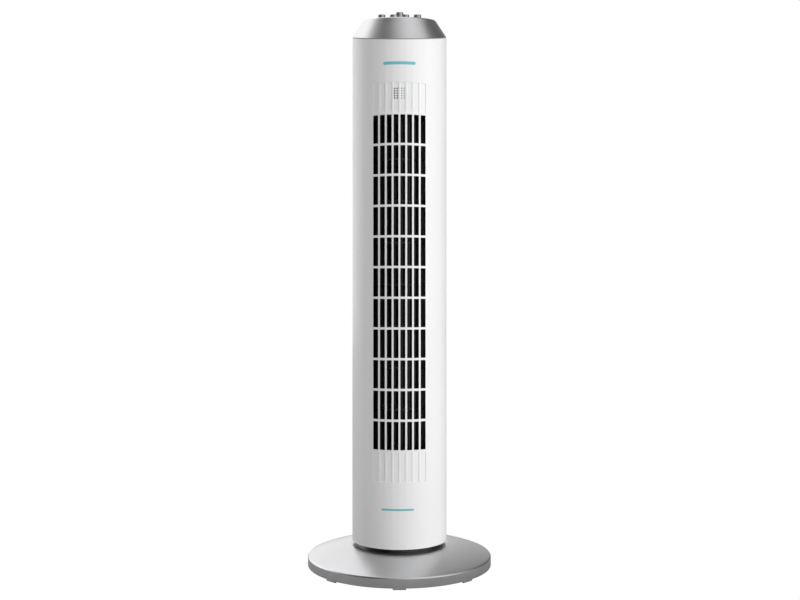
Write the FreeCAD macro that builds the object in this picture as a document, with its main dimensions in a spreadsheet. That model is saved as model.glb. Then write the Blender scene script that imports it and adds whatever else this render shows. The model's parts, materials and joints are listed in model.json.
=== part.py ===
import FreeCAD, Part
import math
import os

import Sketcher

# Tower fan. Millimetres, +Z up, front towards -Y.
# The origin is on the floor, under the axis that the tower swings about.

doc = FreeCAD.newDocument("TowerFan")
Vector = FreeCAD.Vector


# ---------------------------------------------------------------- driving dimensions

SIZES = {
    # tower shell
    "tower_radius": 65.0,
    "shell_wall": 2.6,
    "shell_split": 0.3,
    "crown_height": 75.2,
    "seam_tilt": 16.0,
    "lip_height": 1.2,
    "lip_step": 0.7,
    # cap
    "cap_rise": 23.4,
    "cap_tilt": 9.0,
    "cap_bevel": 15.0,
    "cap_wall": 2.4,
    "cap_round": 3.0,
    # grille
    "slot_pitch": 9.0,
    "slot_width": 6.5,
    "slot_columns": 8,
    "row_pitch": 40.6,
    "bar_height": 3.0,
    "grille_rows": 11,
    "grille_lift": 6.6,
    "grille_depth": 27.0,
    "blind_height": 39.2,
    "blind_depth": 0.5,
    # indicator lights in the closed cells above the grille
    "light_side": 1.8,
    "light_row_pitch": 3.2,
    "light_rows": 5,
    "light_lift": 18.4,
    "light_pair": 3.4,
    "light_offset": 4.6,
    "light_length": 7.0,
    # base
    "base_radius": 126.0,
    "base_wall": 3.0,
    "rim_floor": 1.8,
    "rim_height": 13.3,
    "shoulder_run": 1.4,
    "shoulder_rise": 1.9,
    "shoulder_arc": 5.5,
    "plateau_margin": 1.0,
    "plateau_height": 30.0,
    "dome_arc": 260.0,
    "tab_count": 8,
    "tab_width": 17.0,
    "plate_thick": 2.4,
    "weight_margin": 6.0,
    "weight_gap": 4.0,
    "weight_thick": 6.0,
    "pad_radius": 8.0,
    "pad_inset": 28.0,
    "pad_count": 4,
    "base_screw_inset": 14.0,
    "base_screw_count": 6,
    "gland_radius": 3.8,
    "gland_bore": 3.0,
    "gland_lift": 0.4,
    "gland_length": 12.0,
    # turntable
    "swivel_step": 7.0,
    "swivel_height": 5.1,
    "swivel_gap": 0.3,
    "glide_width": 6.0,
    "glide_inset": 14.0,
    "glide_height": 0.8,
    "post_radius": 12.0,
    "post_wall": 4.0,
    "flange_width": 12.0,
    "foot_thick": 3.0,
    "hub_wall": 5.0,
    "hub_height": 5.0,
    # oscillation drive
    "gear_module": 1.5,
    "gear_teeth": 36,
    "pinion_teeth": 12,
    "gear_height": 6.0,
    "gear_lift": 0.4,
    "gear_backlash": 0.9,
    "nut_height": 3.0,
    "nut_wall": 3.0,
    "swing_motor_radius": 18.0,
    "swing_motor_height": 18.0,
    "swing_shaft_radius": 2.5,
    "bracket_thick": 2.0,
    # impeller and its motor
    "motor_gap": 8.8,
    "motor_radius": 36.0,
    "bell_height": 12.0,
    "bell_wall": 2.0,
    "stator_height": 26.0,
    "rotor_radius": 18.0,
    "air_gap": 0.5,
    "motor_shaft_radius": 4.0,
    "grommet_height": 2.0,
    "grommet_radius": 4.0,
    "grommet_place": 20.0,
    "carrier_gap": 6.0,
    "carrier_thick": 3.0,
    "impeller_lift": 25.0,
    "impeller_space": 24.4,
    "impeller_over": 1.8,
    "disc_thick": 1.6,
    "disc_count": 9,
    "blade_count": 24,
    "blade_chord": 8.0,
    "blade_thick": 1.0,
    "blade_arc": 7.0,
    "impeller_hub": 9.0,
    "stub_radius": 3.0,
    "bearing_radius": 8.0,
    "bearing_height": 8.0,
    "rubber_radius": 13.0,
    "bridge_gap": 4.0,
    "guide_gap": 3.0,
    "guide_wall": 2.5,
    "guide_start": -29.0,
    "guide_sweep": 145.0,
    "tongue_sweep": 24.0,
    # controls
    "button_radius": 5.4,
    "button_height": 9.2,
    "button_round": 1.2,
    "button_travel": 3.0,
    "button_spacing": 16.5,
    "button_row": 4.0,
    "front_button": -21.0,
    "flange_rim": 1.6,
    "flange_thick": 2.0,
    "stem_radius": 2.5,
    "stem_reach": 16.5,
    "switch_depth": 12.5,
    "switch_thick": 12.0,
    "switch_margin": 8.25,
    "pillar_gap": 5.0,
    "pillar_radius": 3.5,
    # fits and screws
    "running_fit": 0.08,
    "press_fit": 0.02,
    "slide_fit": 0.3,
    "screw_radius": 1.6,
    "screw_head": 3.2,
    "head_thick": 1.8,
    "boss_radius": 4.0,
    "rear_boss_radius": 6.0,
    "boss_inset": 12.4,
    "boss_lift": 20.8,
    "boss_drop": 52.6,
    "boss_rows": 4,
    "boss_recess": 8.0,
    "lug_inset": 3.6,
    "lug_height": 9.0,
    "base_screw_reach": 12.0,
    "low_head": 1.4,
    "foot_recess": 1.4,
    "pillar_bore": 6.0,
    # small internal pieces
    "light_inset": 0.15,
    "board_thick": 1.6,
    "coil_outer": 33.0,
    "blade_lead": 3.2,
    "hub_drop": 12.0,
    "hub_length": 16.0,
    "bracket_ear": 5.0,
    "capacitor_wide": 30.0,
    "capacitor_deep": 10.0,
    "capacitor_tall": 25.0,
    "capacitor_inset": 16.4,
    "terminal_deep": 20.0,
    "terminal_tall": 14.0,
    "terminal_inset": 24.4,
    "channel_side": 5.0,
    "channel_drop": 37.6,
}


class Size:
    """A length kept twice: as a number, and as the sheet expression that it comes from."""

    def __init__(self, text, number):
        self.text = text
        self.number = number

    def join(self, sign, other, number):
        return Size(f"({self.text} {sign} {as_size(other).text})", number)

    def __add__(self, other):
        return self.join("+", other, self.number + as_size(other).number)

    def __sub__(self, other):
        return self.join("-", other, self.number - as_size(other).number)

    def __mul__(self, other):
        return self.join("*", other, self.number * as_size(other).number)

    def __truediv__(self, other):
        return self.join("/", other, self.number / as_size(other).number)

    def __neg__(self):
        return Size(f"(0 - {self.text})", -self.number)

    def __radd__(self, other):
        return as_size(other) + self

    def __rsub__(self, other):
        return as_size(other) - self

    def __rmul__(self, other):
        return as_size(other) * self


def as_size(value):
    if isinstance(value, Size):
        return value
    return Size(f"({float(value)!r})", float(value))


def tangent(angle):
    return Size(f"tan({angle.text})", math.tan(math.radians(angle.number)))


def cosine(angle):
    return Size(f"cos({angle.text})", math.cos(math.radians(angle.number)))


def root(value):
    return Size(f"sqrt({value.text})", math.sqrt(value.number))


class Sheet:
    """The spreadsheet, with each driving dimension as an attribute."""

    def __init__(self):
        self.page = doc.addObject("Spreadsheet::Sheet", "Sizes")
        for row, (name, value) in enumerate(SIZES.items(), start=1):
            self.page.set(f"A{row}", name)
            self.page.set(f"B{row}", str(value))
            self.page.setAlias(f"B{row}", name)
            setattr(self, name, Size(f"Sizes.{name}", float(value)))
        doc.recompute()


S = Sheet()
parts = []


# ---------------------------------------------------------------- helpers

def bind(item, **sizes):
    """Ties properties of an object to the sheet."""
    for name, value in sizes.items():
        item.setExpression(name, as_size(value).text)


def placement(x=0, y=0, z=0, axis=(1, 0, 0), angle=0):
    """A placement as a sheet expression: a turn about an axis, then a shift."""
    line = "; ".join(str(c) for c in axis)
    shift = "; ".join(as_size(c).text for c in (x, y, z))
    turn = as_size(angle).text
    return (f"create(<<placement>>; create(<<vector>>; {shift}); "
            f"create(<<rotation>>; create(<<vector>>; {line}); {turn}))")


def put(item, x=0, y=0, z=0, axis=(1, 0, 0), angle=0):
    item.setExpression("Placement", placement(x, y, z, axis, angle))
    return item


def rod(name, radius, length, x=0, y=0, z=0, axis=(1, 0, 0), angle=0, sweep=360):
    """A cylinder, or with a sweep a sector of one."""
    item = doc.addObject("Part::Cylinder", name)
    bind(item, Radius=radius, Height=length, Angle=sweep)
    return put(item, x, y, z, axis, angle)


def block(name, wide, deep, tall, x=0, y=0, z=0):
    """A box centred on x and y that stands on z."""
    item = doc.addObject("Part::Box", name)
    bind(item, Length=wide, Width=deep, Height=tall)
    return put(item, as_size(x) - as_size(wide) / 2, as_size(y) - as_size(deep) / 2, z)


def fuse(name, pieces):
    item = doc.addObject("Part::MultiFuse", name)
    item.Shapes = pieces
    return item


def group(name, pieces):
    """Separate solids that share one node."""
    item = doc.addObject("Part::Compound", name)
    item.Links = pieces
    return item


def common(name, first, second):
    item = doc.addObject("Part::Common", name)
    item.Base = first
    item.Tool = second
    return item


def cut(name, base, tools):
    item = doc.addObject("Part::Cut", name)
    item.Base = base
    item.Tool = tools[0] if len(tools) == 1 else fuse(f"{name}_tools", tools)
    return item


def tube(name, outer, inner, length, x=0, y=0, z=0):
    core = rod(f"{name}_core", inner, length, x, y, z)
    return cut(name, rod(f"{name}_outer", outer, length, x, y, z), [core])


def node(name, item):
    """Records a finished sub-part under its node name."""
    item.Label = name
    parts.append(item)
    return item


def around(count, radius, first=0.0):
    """Points evenly spaced on a circle, each tied to the circle's radius."""
    for index in range(int(count)):
        turn = math.radians(first + 360.0 * index / int(count))
        yield index, radius * round(math.cos(turn), 9), radius * round(math.sin(turn), 9)


def origin_plane(body, role):
    return next(p for p in body.Origin.OriginFeatures if p.Role == role)


def new_sketch(body, name, role, lift=None):
    sketch = body.newObject("Sketcher::SketchObject", name)
    sketch.AttachmentSupport = (origin_plane(body, role), [""])
    sketch.MapMode = "FlatFace"
    if lift is not None:
        sketch.setExpression("AttachmentOffset", placement(z=lift))
    return sketch


def pin_point(sketch, shape, end, x, y):
    """Ties one end of a line or arc to its place on the sheet."""
    for kind, value in (("DistanceX", x), ("DistanceY", y)):
        row = sketch.addConstraint(Sketcher.Constraint(kind, -1, 1, shape, end, value.number))
        sketch.setExpression(f"Constraints[{row}]", value.text)


def arc_between(start, end, radius):
    """An arc from start to end that bulges to the right of the way it runs."""
    half = (end - start) * 0.5
    side = Vector(half.y, -half.x, 0).normalize()
    sagitta = radius - math.sqrt(radius ** 2 - half.Length ** 2)
    return Part.Arc(start, start + half + side * sagitta, end)


def outline(sketch, points):
    """A closed outline of (x, y) points. A third value is the radius of the arc to the next."""
    spots = [(as_size(p[0]), as_size(p[1])) for p in points]
    flat = [Vector(x.number, y.number, 0) for x, y in spots]
    for index, point in enumerate(points):
        after = flat[(index + 1) % len(points)]
        if len(point) == 3:
            arc = arc_between(flat[index], after, as_size(point[2]).number)
            sketch.addGeometry(arc, False)
            row = sketch.addConstraint(Sketcher.Constraint("Radius", index, as_size(point[2]).number))
            sketch.setExpression(f"Constraints[{row}]", as_size(point[2]).text)
        else:
            sketch.addGeometry(Part.LineSegment(flat[index], after), False)
    for index in range(len(points)):
        other = (index + 1) % len(points)
        last = nearest_end(sketch, index, flat[other])
        first = nearest_end(sketch, other, flat[other])
        sketch.addConstraint(Sketcher.Constraint("Coincident", index, last, other, first))
        pin_point(sketch, other, first, *spots[other])


def nearest_end(sketch, shape, spot):
    """1 for the start of a line or arc, 2 for its end, whichever is at the spot."""
    geometry = sketch.Geometry[shape]
    at_start = (geometry.StartPoint - spot).Length < (geometry.EndPoint - spot).Length
    return 1 if at_start else 2


def circle(sketch, radius, x=0, y=0):
    x, y, radius = as_size(x), as_size(y), as_size(radius)
    shape = sketch.addGeometry(
        Part.Circle(Vector(x.number, y.number, 0), Vector(0, 0, 1), radius.number), False)
    row = sketch.addConstraint(Sketcher.Constraint("Radius", shape, radius.number))
    sketch.setExpression(f"Constraints[{row}]", radius.text)
    pin_point(sketch, shape, 3, x, y)


def turned(name, points):
    """A body of revolution about Z from an outline of (radius, height) points."""
    body = doc.addObject("PartDesign::Body", name)
    sketch = new_sketch(body, f"{name}_outline", "XZ_Plane")
    outline(sketch, points)
    feature = body.newObject("PartDesign::Revolution", f"{name}_turn")
    feature.Profile = sketch
    feature.ReferenceAxis = (sketch, ["V_Axis"])
    feature.Angle = 360
    body.Tip = feature
    return body


def pad(body, name, sketch, length):
    feature = body.newObject("PartDesign::Pad", name)
    feature.Profile = sketch
    feature.setExpression("Length", as_size(length).text)
    body.Tip = feature
    return feature


def screw(name, x, y, seat, reach, up=True, head=None):
    """A screw along Z: its head rests on the seat and its shank runs reach beyond it."""
    thick = head or S.head_thick
    head_floor = seat - thick if up else seat
    shank_floor = seat if up else seat - reach
    cap = rod(f"{name}_head", S.screw_head, thick, x, y, head_floor)
    shank = rod(f"{name}_shank", S.screw_radius, reach, x, y, shank_floor)
    return fuse(name, [cap, shank])


# ---------------------------------------------------------------- levels shared by several pieces

screw_bore = S.screw_radius + S.press_fit

# the base, from its rim inwards
shoulder_radius = S.base_radius - S.shoulder_run
shoulder_height = S.rim_height + S.shoulder_rise
plateau_radius = S.tower_radius + S.plateau_margin
base_ceiling = S.plateau_height - S.base_wall
plate_top = S.rim_floor + S.plate_thick
base_screw_circle = S.base_radius - S.base_screw_inset
weight_outer = base_screw_circle - S.boss_radius - S.weight_gap
pad_circle = S.base_radius - S.pad_inset
gland_height = plate_top + S.gland_radius + S.gland_lift
post_bore = S.post_radius - S.post_wall
post_flange = S.post_radius + S.flange_width
weight_inner = post_flange + S.weight_margin

# the turntable and the swing drive, upwards
swivel_radius = S.tower_radius - S.swivel_step
swivel_top = S.plateau_height + S.swivel_height
tower_floor = swivel_top + S.swivel_gap
glide_outer = swivel_radius - S.glide_inset
glide_inner = glide_outer - S.glide_width
foot_floor = swivel_top + S.glide_height + S.swivel_gap
foot_top = foot_floor + S.foot_thick
foot_hub = S.post_radius + S.hub_wall
hub_top = foot_top + S.hub_height
gear_floor = hub_top + S.gear_lift
gear_top = gear_floor + S.gear_height
gear_centres = S.gear_module * (S.gear_teeth + S.pinion_teeth) / 2
nut_radius = S.post_radius + S.nut_wall
post_top = gear_top + S.nut_height
motor_bracket_floor = gear_top + S.slide_fit * 2
motor_bracket_top = motor_bracket_floor + S.bracket_thick

# the motor, its carrier and the impeller, upwards
motor_floor = motor_bracket_top + S.swing_motor_height + S.motor_gap
stator_floor = motor_floor + S.bell_height
stator_top = stator_floor + S.stator_height
motor_top = stator_top + S.bell_height
carrier_floor = motor_top + S.grommet_height
carrier_top = carrier_floor + S.carrier_thick
impeller_floor = carrier_top + S.impeller_lift
grille_floor = impeller_floor + S.grille_lift
grille_top = grille_floor + S.row_pitch * S.grille_rows - S.bar_height
grille_width = S.slot_pitch * (S.slot_columns - 1) + S.slot_width
grille_back = S.tower_radius - S.grille_depth
impeller_top = grille_top + S.impeller_over
impeller_length = impeller_top - impeller_floor
bridge_floor = impeller_top + S.bridge_gap
bridge_top = bridge_floor + S.carrier_thick
light_floor = grille_top + S.bar_height + S.light_lift
seam_height = grille_top + S.bar_height + S.blind_height + S.crown_height
cap_height = seam_height + S.cap_rise
channel_top = seam_height - S.channel_drop

# the shell's inside, and what lines up with it
shell_inner = S.tower_radius - S.shell_wall
cap_radius = S.tower_radius - S.cap_bevel
impeller_radius = shell_inner - S.impeller_space
guide_inner = impeller_radius + S.guide_gap
lug_place = shell_inner - S.lug_inset
boss_place = shell_inner - S.boss_inset
boss_floor = foot_top + S.boss_lift
boss_pitch = (seam_height - S.boss_drop - boss_floor) / (S.boss_rows - 1)
carrier_half_width = boss_place - S.rear_boss_radius - S.carrier_gap

# the controls, from the buttons outwards
button_flange = S.button_radius + S.flange_rim
switch_half = S.button_spacing * 1.5 + S.switch_margin
pillar_place = switch_half + S.pillar_gap
switch_middle = (S.button_row + S.front_button) / 2
flange_depth = S.cap_wall + S.slide_fit + S.flange_thick


# ---------------------------------------------------------------- base, fixed to the floor

def dome_profile(inset, floor):
    """The dome's half section, moved in by a wall: rim, round shoulder, long shallow arc."""
    return [
        (S.base_radius - inset, floor),
        (S.base_radius - inset, S.rim_height, S.shoulder_arc + S.base_wall - inset),
        (shoulder_radius - inset, shoulder_height - inset, S.dome_arc),
        (plateau_radius, S.plateau_height - inset),
        (0, S.plateau_height - inset),
        (0, floor),
    ]


def base_bosses():
    """Hollow pillars under the dome that take the screws of the base plate."""
    pillars = []
    bores = []
    for index, x, y in around(S.base_screw_count.number, base_screw_circle, 30.0):
        tall = shoulder_height - plate_top
        pillars.append(rod(f"base_boss_{index}", S.boss_radius, tall, x, y, plate_top))
        bores.append(rod(f"base_bore_{index}", screw_bore, S.base_screw_reach, x, y, S.rim_floor))
    return pillars, bores


def rim_tabs():
    """Short tongues under the rim wall, flush with it, that carry the base."""
    ring = tube("tab_ring", S.base_radius, S.base_radius - S.base_wall, S.rim_floor)
    reach = S.base_radius * 2 + S.base_wall
    bars = []
    for index in range(int(S.tab_count.number / 2)):
        bar = doc.addObject("Part::Box", f"tab_bar_{index}")
        bind(bar, Length=reach, Width=S.tab_width, Height=S.rim_floor)
        turn = 360.0 * index / S.tab_count.number
        cos = round(math.cos(math.radians(turn)), 9)
        sin = round(math.sin(math.radians(turn)), 9)
        x = S.tab_width / 2 * sin - reach / 2 * cos
        y = -(reach / 2 * sin) - S.tab_width / 2 * cos
        bars.append(put(bar, x, y, 0, (0, 0, 1), turn))
    return common("rim_tabs", ring, fuse("tab_bars", bars))


def make_base_cover():
    outer = turned("cover_outer", dome_profile(as_size(0), S.rim_floor))
    inner = turned("cover_inner", dome_profile(S.base_wall, as_size(0)))
    pillars, bores = base_bosses()
    shell = cut("cover_shell", outer, [inner])
    inside = common("cover_pillars", fuse("base_bosses", pillars), outer)
    solid = fuse("cover_solid", [shell, inside, rim_tabs()])
    post_hole = rod("cover_hole", S.post_radius + S.slide_fit, S.plateau_height * 2)
    cord_hole = rod("cord_hole", S.gland_radius + S.press_fit, S.gland_length * 2,
                    0, S.base_radius - S.gland_length, gland_height, (1, 0, 0), -90)
    node("base_cover", cut("base_cover", solid, bores + [post_hole, cord_hole]))


def make_base_plate():
    disc = rod("plate_disc", S.base_radius - S.base_wall - S.slide_fit, S.plate_thick, z=S.rim_floor)
    holes = [rod(f"plate_hole_{i}", screw_bore, plate_top, x, y)
             for i, x, y in around(S.base_screw_count.number, base_screw_circle, 30.0)]
    node("base_plate", cut("base_plate", disc, holes))


def make_base_fittings():
    node("base_weight", tube("base_weight", weight_outer, weight_inner, S.weight_thick,
                             z=plate_top))
    pads = [rod(f"pad_{i}", S.pad_radius, S.rim_floor, x, y)
            for i, x, y in around(S.pad_count.number, pad_circle, 45.0)]
    node("rubber_pads", group("rubber_pads", pads))
    screws = [screw(f"base_screw_{i}", x, y, S.rim_floor, S.base_screw_reach, head=S.low_head)
              for i, x, y in around(S.base_screw_count.number, base_screw_circle, 30.0)]
    node("base_screws", group("base_screws", screws))


def make_cord_gland():
    start = S.base_radius - S.gland_length
    outer = rod("gland_outer", S.gland_radius, S.gland_length - S.slide_fit, 0, start,
                gland_height, (1, 0, 0), -90)
    bore = rod("gland_bore", S.gland_bore, S.gland_length, 0, start, gland_height, (1, 0, 0), -90)
    node("cord_gland", cut("cord_gland", outer, [bore]))


def make_swivel_ring():
    """The gloss black collar that the tower turns on."""
    height = swivel_top - S.plateau_height
    node("swivel_ring", tube("swivel_ring", swivel_radius, S.post_radius + S.press_fit, height,
                             z=S.plateau_height))
    node("glide_ring", tube("glide_ring", glide_outer, glide_inner, S.glide_height, z=swivel_top))


def make_pivot_post():
    """A hollow post with a flange under the dome, which holds the fixed gear at its top."""
    flange = rod("post_flange", post_flange, S.base_wall, z=base_ceiling - S.base_wall)
    stem = rod("post_stem", S.post_radius, post_top - base_ceiling, z=base_ceiling)
    bore = rod("post_bore", post_bore, post_top)
    node("pivot_post", cut("pivot_post", fuse("post_solid", [flange, stem]), [bore]))
    node("post_nut", tube("post_nut", nut_radius, S.post_radius + S.press_fit, S.nut_height,
                          z=gear_top))


def gear(name, teeth, bore, z, x=0, y=0, turn=0.0):
    """A spur gear with straight-flanked teeth, thinned by half the backlash."""
    body = doc.addObject("PartDesign::Body", name)
    pitch = S.gear_module * teeth / 2
    blank = new_sketch(body, f"{name}_blank", "XY_Plane")
    circle(blank, pitch - S.gear_module * 1.25)
    circle(blank, bore)
    pad(body, f"{name}_disc", blank, S.gear_height)
    tooth = new_sketch(body, f"{name}_tooth", "XY_Plane")
    half = S.gear_module * math.pi / 4 - S.gear_backlash / 4
    lean = math.tan(math.radians(20.0))
    tip = half - S.gear_module * 0.9 * lean
    foot = half + S.gear_module * 1.25 * lean
    low = pitch - S.gear_module * 1.6
    high = pitch + S.gear_module * 0.9
    outline(tooth, [(low, -foot), (high, -tip), (high, tip), (low, foot)])
    solid = pad(body, f"{name}_tooth_pad", tooth, S.gear_height)
    doc.recompute()
    ring = body.newObject("PartDesign::PolarPattern", f"{name}_teeth")
    ring.Originals = [solid]
    ring.Axis = (tooth, ["N_Axis"])
    ring.Angle = 360
    ring.setExpression("Occurrences", as_size(teeth).text)
    body.Tip = ring
    return put(body, x, y, z, (0, 0, 1), turn)


def make_fixed_gear():
    node("fixed_gear", gear("fixed_gear", S.gear_teeth, S.post_radius + S.press_fit, gear_floor))


# ---------------------------------------------------------------- tower, swings on the base

def slab_above(name, height, tilt, reach):
    """A big block whose underside is a plane tilted down towards the front."""
    item = doc.addObject("Part::Box", name)
    bind(item, Length=reach * 2, Width=reach * 4, Height=reach * 2)
    shift = reach * 2
    x = -reach
    y = -(shift * cosine(tilt))
    z = height - shift * cosine(tilt) * tangent(tilt)
    return put(item, x, y, z, (1, 0, 0), tilt)


def slots(name, side, depth_from, count, floor, height, pitch):
    """A grid of upright cutting boxes on one side of the tower. side is -1 for the front."""
    columns = []
    middle = side * (S.tower_radius + depth_from) / 2
    for index in range(int(S.slot_columns.number)):
        x = S.slot_pitch * (index - (S.slot_columns.number - 1) / 2)
        tall = pitch * (count - 1) + height
        columns.append(block(f"{name}_column_{index}", S.slot_width, S.tower_radius - depth_from,
                             tall, x, middle, floor))
    solid = fuse(f"{name}_columns", columns)
    if count == 1:
        return solid
    bars = [block(f"{name}_bar_{row}", grille_width + S.slot_pitch, S.tower_radius * 2,
                  pitch - height, 0, middle, floor + pitch * row + height)
            for row in range(count - 1)]
    return cut(name, solid, bars)


def blind_cells():
    """Shallow closed cells above and below the open grille, with the ribs left proud."""
    low = grille_floor - S.bar_height - S.blind_height
    high = grille_top + S.bar_height
    boxes = [slots(f"blind_{name}", -1, grille_back, 1, floor, S.blind_height, S.row_pitch)
             for name, floor in (("low", low), ("high", high))]
    tall = high + S.blind_height + S.bar_height
    core = rod("blind_core", S.tower_radius - S.blind_depth, tall)
    return cut("blind_cells", fuse("blind_boxes", boxes), [core])


def light_spots():
    """Places of the small square lights: two pairs of columns, five rows."""
    for side in (-1, 1):
        for column in (-0.5, 0.5):
            for row in range(int(S.light_rows.number)):
                x = S.light_offset * side + S.light_pair * column
                yield f"{side + 1}_{int(column + 1)}_{row}", x, light_floor + S.light_row_pitch * row


def shell_blank(name, side):
    """Half of the tower's tube, with the seam cut at its top."""
    tall = cap_height - tower_floor
    ring = tube(f"{name}_ring", S.tower_radius, shell_inner, tall, z=tower_floor)
    wide = S.tower_radius * 2 + S.shell_wall
    deep = S.tower_radius - S.shell_split / 2 + S.shell_wall
    half = block(f"{name}_half", wide, deep, tall, 0, side * (deep + S.shell_split) / 2, tower_floor)
    lugs = []
    bores = []
    for index, x, y in around(4, lug_place, 45.0):
        if y.number * side > 0:
            lugs.append(rod(f"{name}_lug_{index}", S.boss_radius, S.lug_height, x, y, foot_top))
            bores.append(rod(f"{name}_lug_bore_{index}", screw_bore, S.lug_height, x, y, foot_top))
    y = side * lug_place
    for label, floor in (("low", carrier_floor - S.lug_height), ("high", bridge_top)):
        lugs.append(rod(f"{name}_{label}_lug", S.boss_radius, S.lug_height, 0, y, floor))
        bores.append(rod(f"{name}_{label}_bore", screw_bore, S.lug_height, 0, y, floor))
    return common(f"{name}_blank", ring, half), lugs, bores


def boss_rows():
    for row in range(int(S.boss_rows.number)):
        for side in (-1, 1):
            yield f"{row}_{side + 1}", boss_place * side, boss_floor + boss_pitch * row


def tower_core(name):
    """The full round of the tower, which trims pieces that join its wall."""
    return rod(name, S.tower_radius - S.shell_wall / 2, cap_height, z=0)


def seam_cutter(name):
    return slab_above(name, seam_height, S.seam_tilt, S.tower_radius * 2)


def along_y(name, radius, length, x, y, z):
    return rod(name, radius, length, x, y, z, (1, 0, 0), -90)


def make_front_shell():
    blank, lugs, bores = shell_blank("front", -1)
    for label, x, z in boss_rows():
        y = -(S.shell_split / 2)
        lugs.append(along_y(f"front_boss_{label}", S.boss_radius, S.tower_radius, x, y - S.tower_radius, z))
        bores.append(along_y(f"front_boss_bore_{label}", screw_bore, S.boss_recess * 2, x,
                             y - S.boss_recess * 2, z))
    ribs = common("front_lugs", fuse("front_lug_rods", lugs), tower_core("front_core"))
    solid = fuse("front_solid", [blank, ribs])
    grille = slots("front_grille", -1, grille_back, int(S.grille_rows.number), grille_floor,
                   S.row_pitch - S.bar_height, S.row_pitch)
    side = S.light_side + S.press_fit * 2
    windows = [block(f"light_hole_{label}", side, S.light_length * 2, side, x, -S.tower_radius,
                     z - side / 2) for label, x, z in light_spots()]
    tools = bores + [grille, blind_cells(), seam_cutter("front_seam")] + windows
    node("front_shell", cut("front_shell", solid, tools))


def make_rear_shell():
    blank, lugs, bores = shell_blank("rear", 1)
    for label, x, z in boss_rows():
        y = S.shell_split / 2
        lugs.append(along_y(f"rear_boss_{label}", S.rear_boss_radius, S.tower_radius, x, y, z))
        bores.append(along_y(f"rear_boss_bore_{label}", screw_bore, S.tower_radius, x, y, z))
        bores.append(along_y(f"rear_boss_recess_{label}", S.screw_head + S.slide_fit, S.tower_radius,
                             x, S.boss_recess, z))
    ribs = common("rear_lugs", fuse("rear_lug_rods", lugs), tower_core("rear_core"))
    solid = fuse("rear_solid", [blank, ribs])
    intake = slots("rear_grille", 1, grille_back, int(S.grille_rows.number), grille_floor,
                   S.row_pitch - S.bar_height, S.row_pitch)
    node("rear_shell", cut("rear_shell", solid, bores + [intake, seam_cutter("rear_seam")]))


def make_shell_screws():
    screws = []
    for label, x, z in boss_rows():
        head = along_y(f"shell_head_{label}", S.screw_head, S.head_thick, x, S.boss_recess, z)
        reach = S.boss_recess * 2
        shank = along_y(f"shell_shank_{label}", S.screw_radius, reach, x, S.boss_recess - reach, z)
        screws.append(fuse(f"shell_screw_{label}", [head, shank]))
    node("shell_screws", group("shell_screws", screws))


def make_tower_foot():
    """The floor of the tower, with the hub that turns on the pivot post."""
    plate = rod("foot_disc", shell_inner - S.slide_fit, S.foot_thick, z=foot_floor)
    hub = rod("foot_hub", foot_hub, S.hub_height, z=foot_top)
    holes = [rod("foot_bore", S.post_radius + S.running_fit, S.tower_radius * 2)]
    for index, x, y in around(4, lug_place, 45.0):
        holes.append(rod(f"foot_hole_{index}", screw_bore, S.tower_radius, x, y))
        holes.append(rod(f"foot_recess_{index}", S.screw_head + S.slide_fit, S.foot_recess, x, y,
                         foot_floor))
    node("tower_foot", cut("tower_foot", fuse("foot_solid", [plate, hub]), holes))
    seat = foot_floor + S.foot_recess
    screws = [screw(f"foot_screw_{i}", x, y, seat, S.lug_height, head=S.foot_recess)
              for i, x, y in around(4, lug_place, 45.0)]
    node("foot_screws", group("foot_screws", screws))


def make_seam_ring():
    """The dark lip between the tower and its cap."""
    ring = tube("seam_tube", S.tower_radius - S.lip_step, S.tower_radius - S.lip_step * 10,
                cap_height)
    above = slab_above("seam_floor", seam_height, S.seam_tilt, S.tower_radius * 2)
    beyond = slab_above("seam_ceiling", seam_height + S.lip_height, S.seam_tilt, S.tower_radius * 2)
    band = common("seam_band", ring, above)
    node("seam_ring", cut("seam_ring", band, [beyond]))


# ---------------------------------------------------------------- cap and controls

def cap_loft(name, inset, drop):
    """The cap's outer form: an ellipse on the slanted seam lofted to a circle on the top."""
    low = doc.addObject("Part::Ellipse", f"{name}_seam")
    wide = S.tower_radius - inset
    bind(low, MinorRadius=wide, MajorRadius=wide / cosine(S.seam_tilt))
    lie(low, seam_height + S.lip_height, S.seam_tilt)
    high = doc.addObject("Part::Circle", f"{name}_top")
    bind(high, Radius=cap_radius - inset)
    lie(high, cap_height - drop, S.cap_tilt)
    loft = doc.addObject("Part::Loft", name)
    loft.Sections = [low, high]
    loft.Solid = True
    loft.Ruled = True
    return loft


def lie(item, z, tilt):
    """Lays a curve on a plane tilted about X, with its start towards the back."""
    spin = "create(<<rotation>>; create(<<vector>>; 0; 0; 1); 90)"
    item.setExpression("Placement", f"{placement(0, 0, z, (1, 0, 0), tilt)} * "
                       f"create(<<placement>>; create(<<vector>>; 0; 0; 0); {spin})")


def on_cap(x, y, depth):
    """A place on the slanted top: x across, y up the slope, depth under the surface."""
    rise = y * tangent(S.cap_tilt) * cosine(S.cap_tilt) + depth_rise(depth)
    slide = y * cosine(S.cap_tilt) + as_size(depth) * tangent(S.cap_tilt) * cosine(S.cap_tilt)
    return x, slide, cap_height + rise


def depth_rise(depth):
    return -(as_size(depth) * cosine(S.cap_tilt))


def cap_rod(name, radius, length, x, y, depth):
    """A cylinder square to the slanted top, whose foot is at a depth under it."""
    return rod(name, radius, length, *on_cap(x, y, depth), (1, 0, 0), S.cap_tilt)


def cap_block(name, wide, deep, tall, x, y, depth):
    item = doc.addObject("Part::Box", name)
    bind(item, Length=wide, Width=deep, Height=tall)
    corner = on_cap(as_size(x) - as_size(wide) / 2, as_size(y) - as_size(deep) / 2, depth)
    return put(item, *corner, (1, 0, 0), S.cap_tilt)


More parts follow.
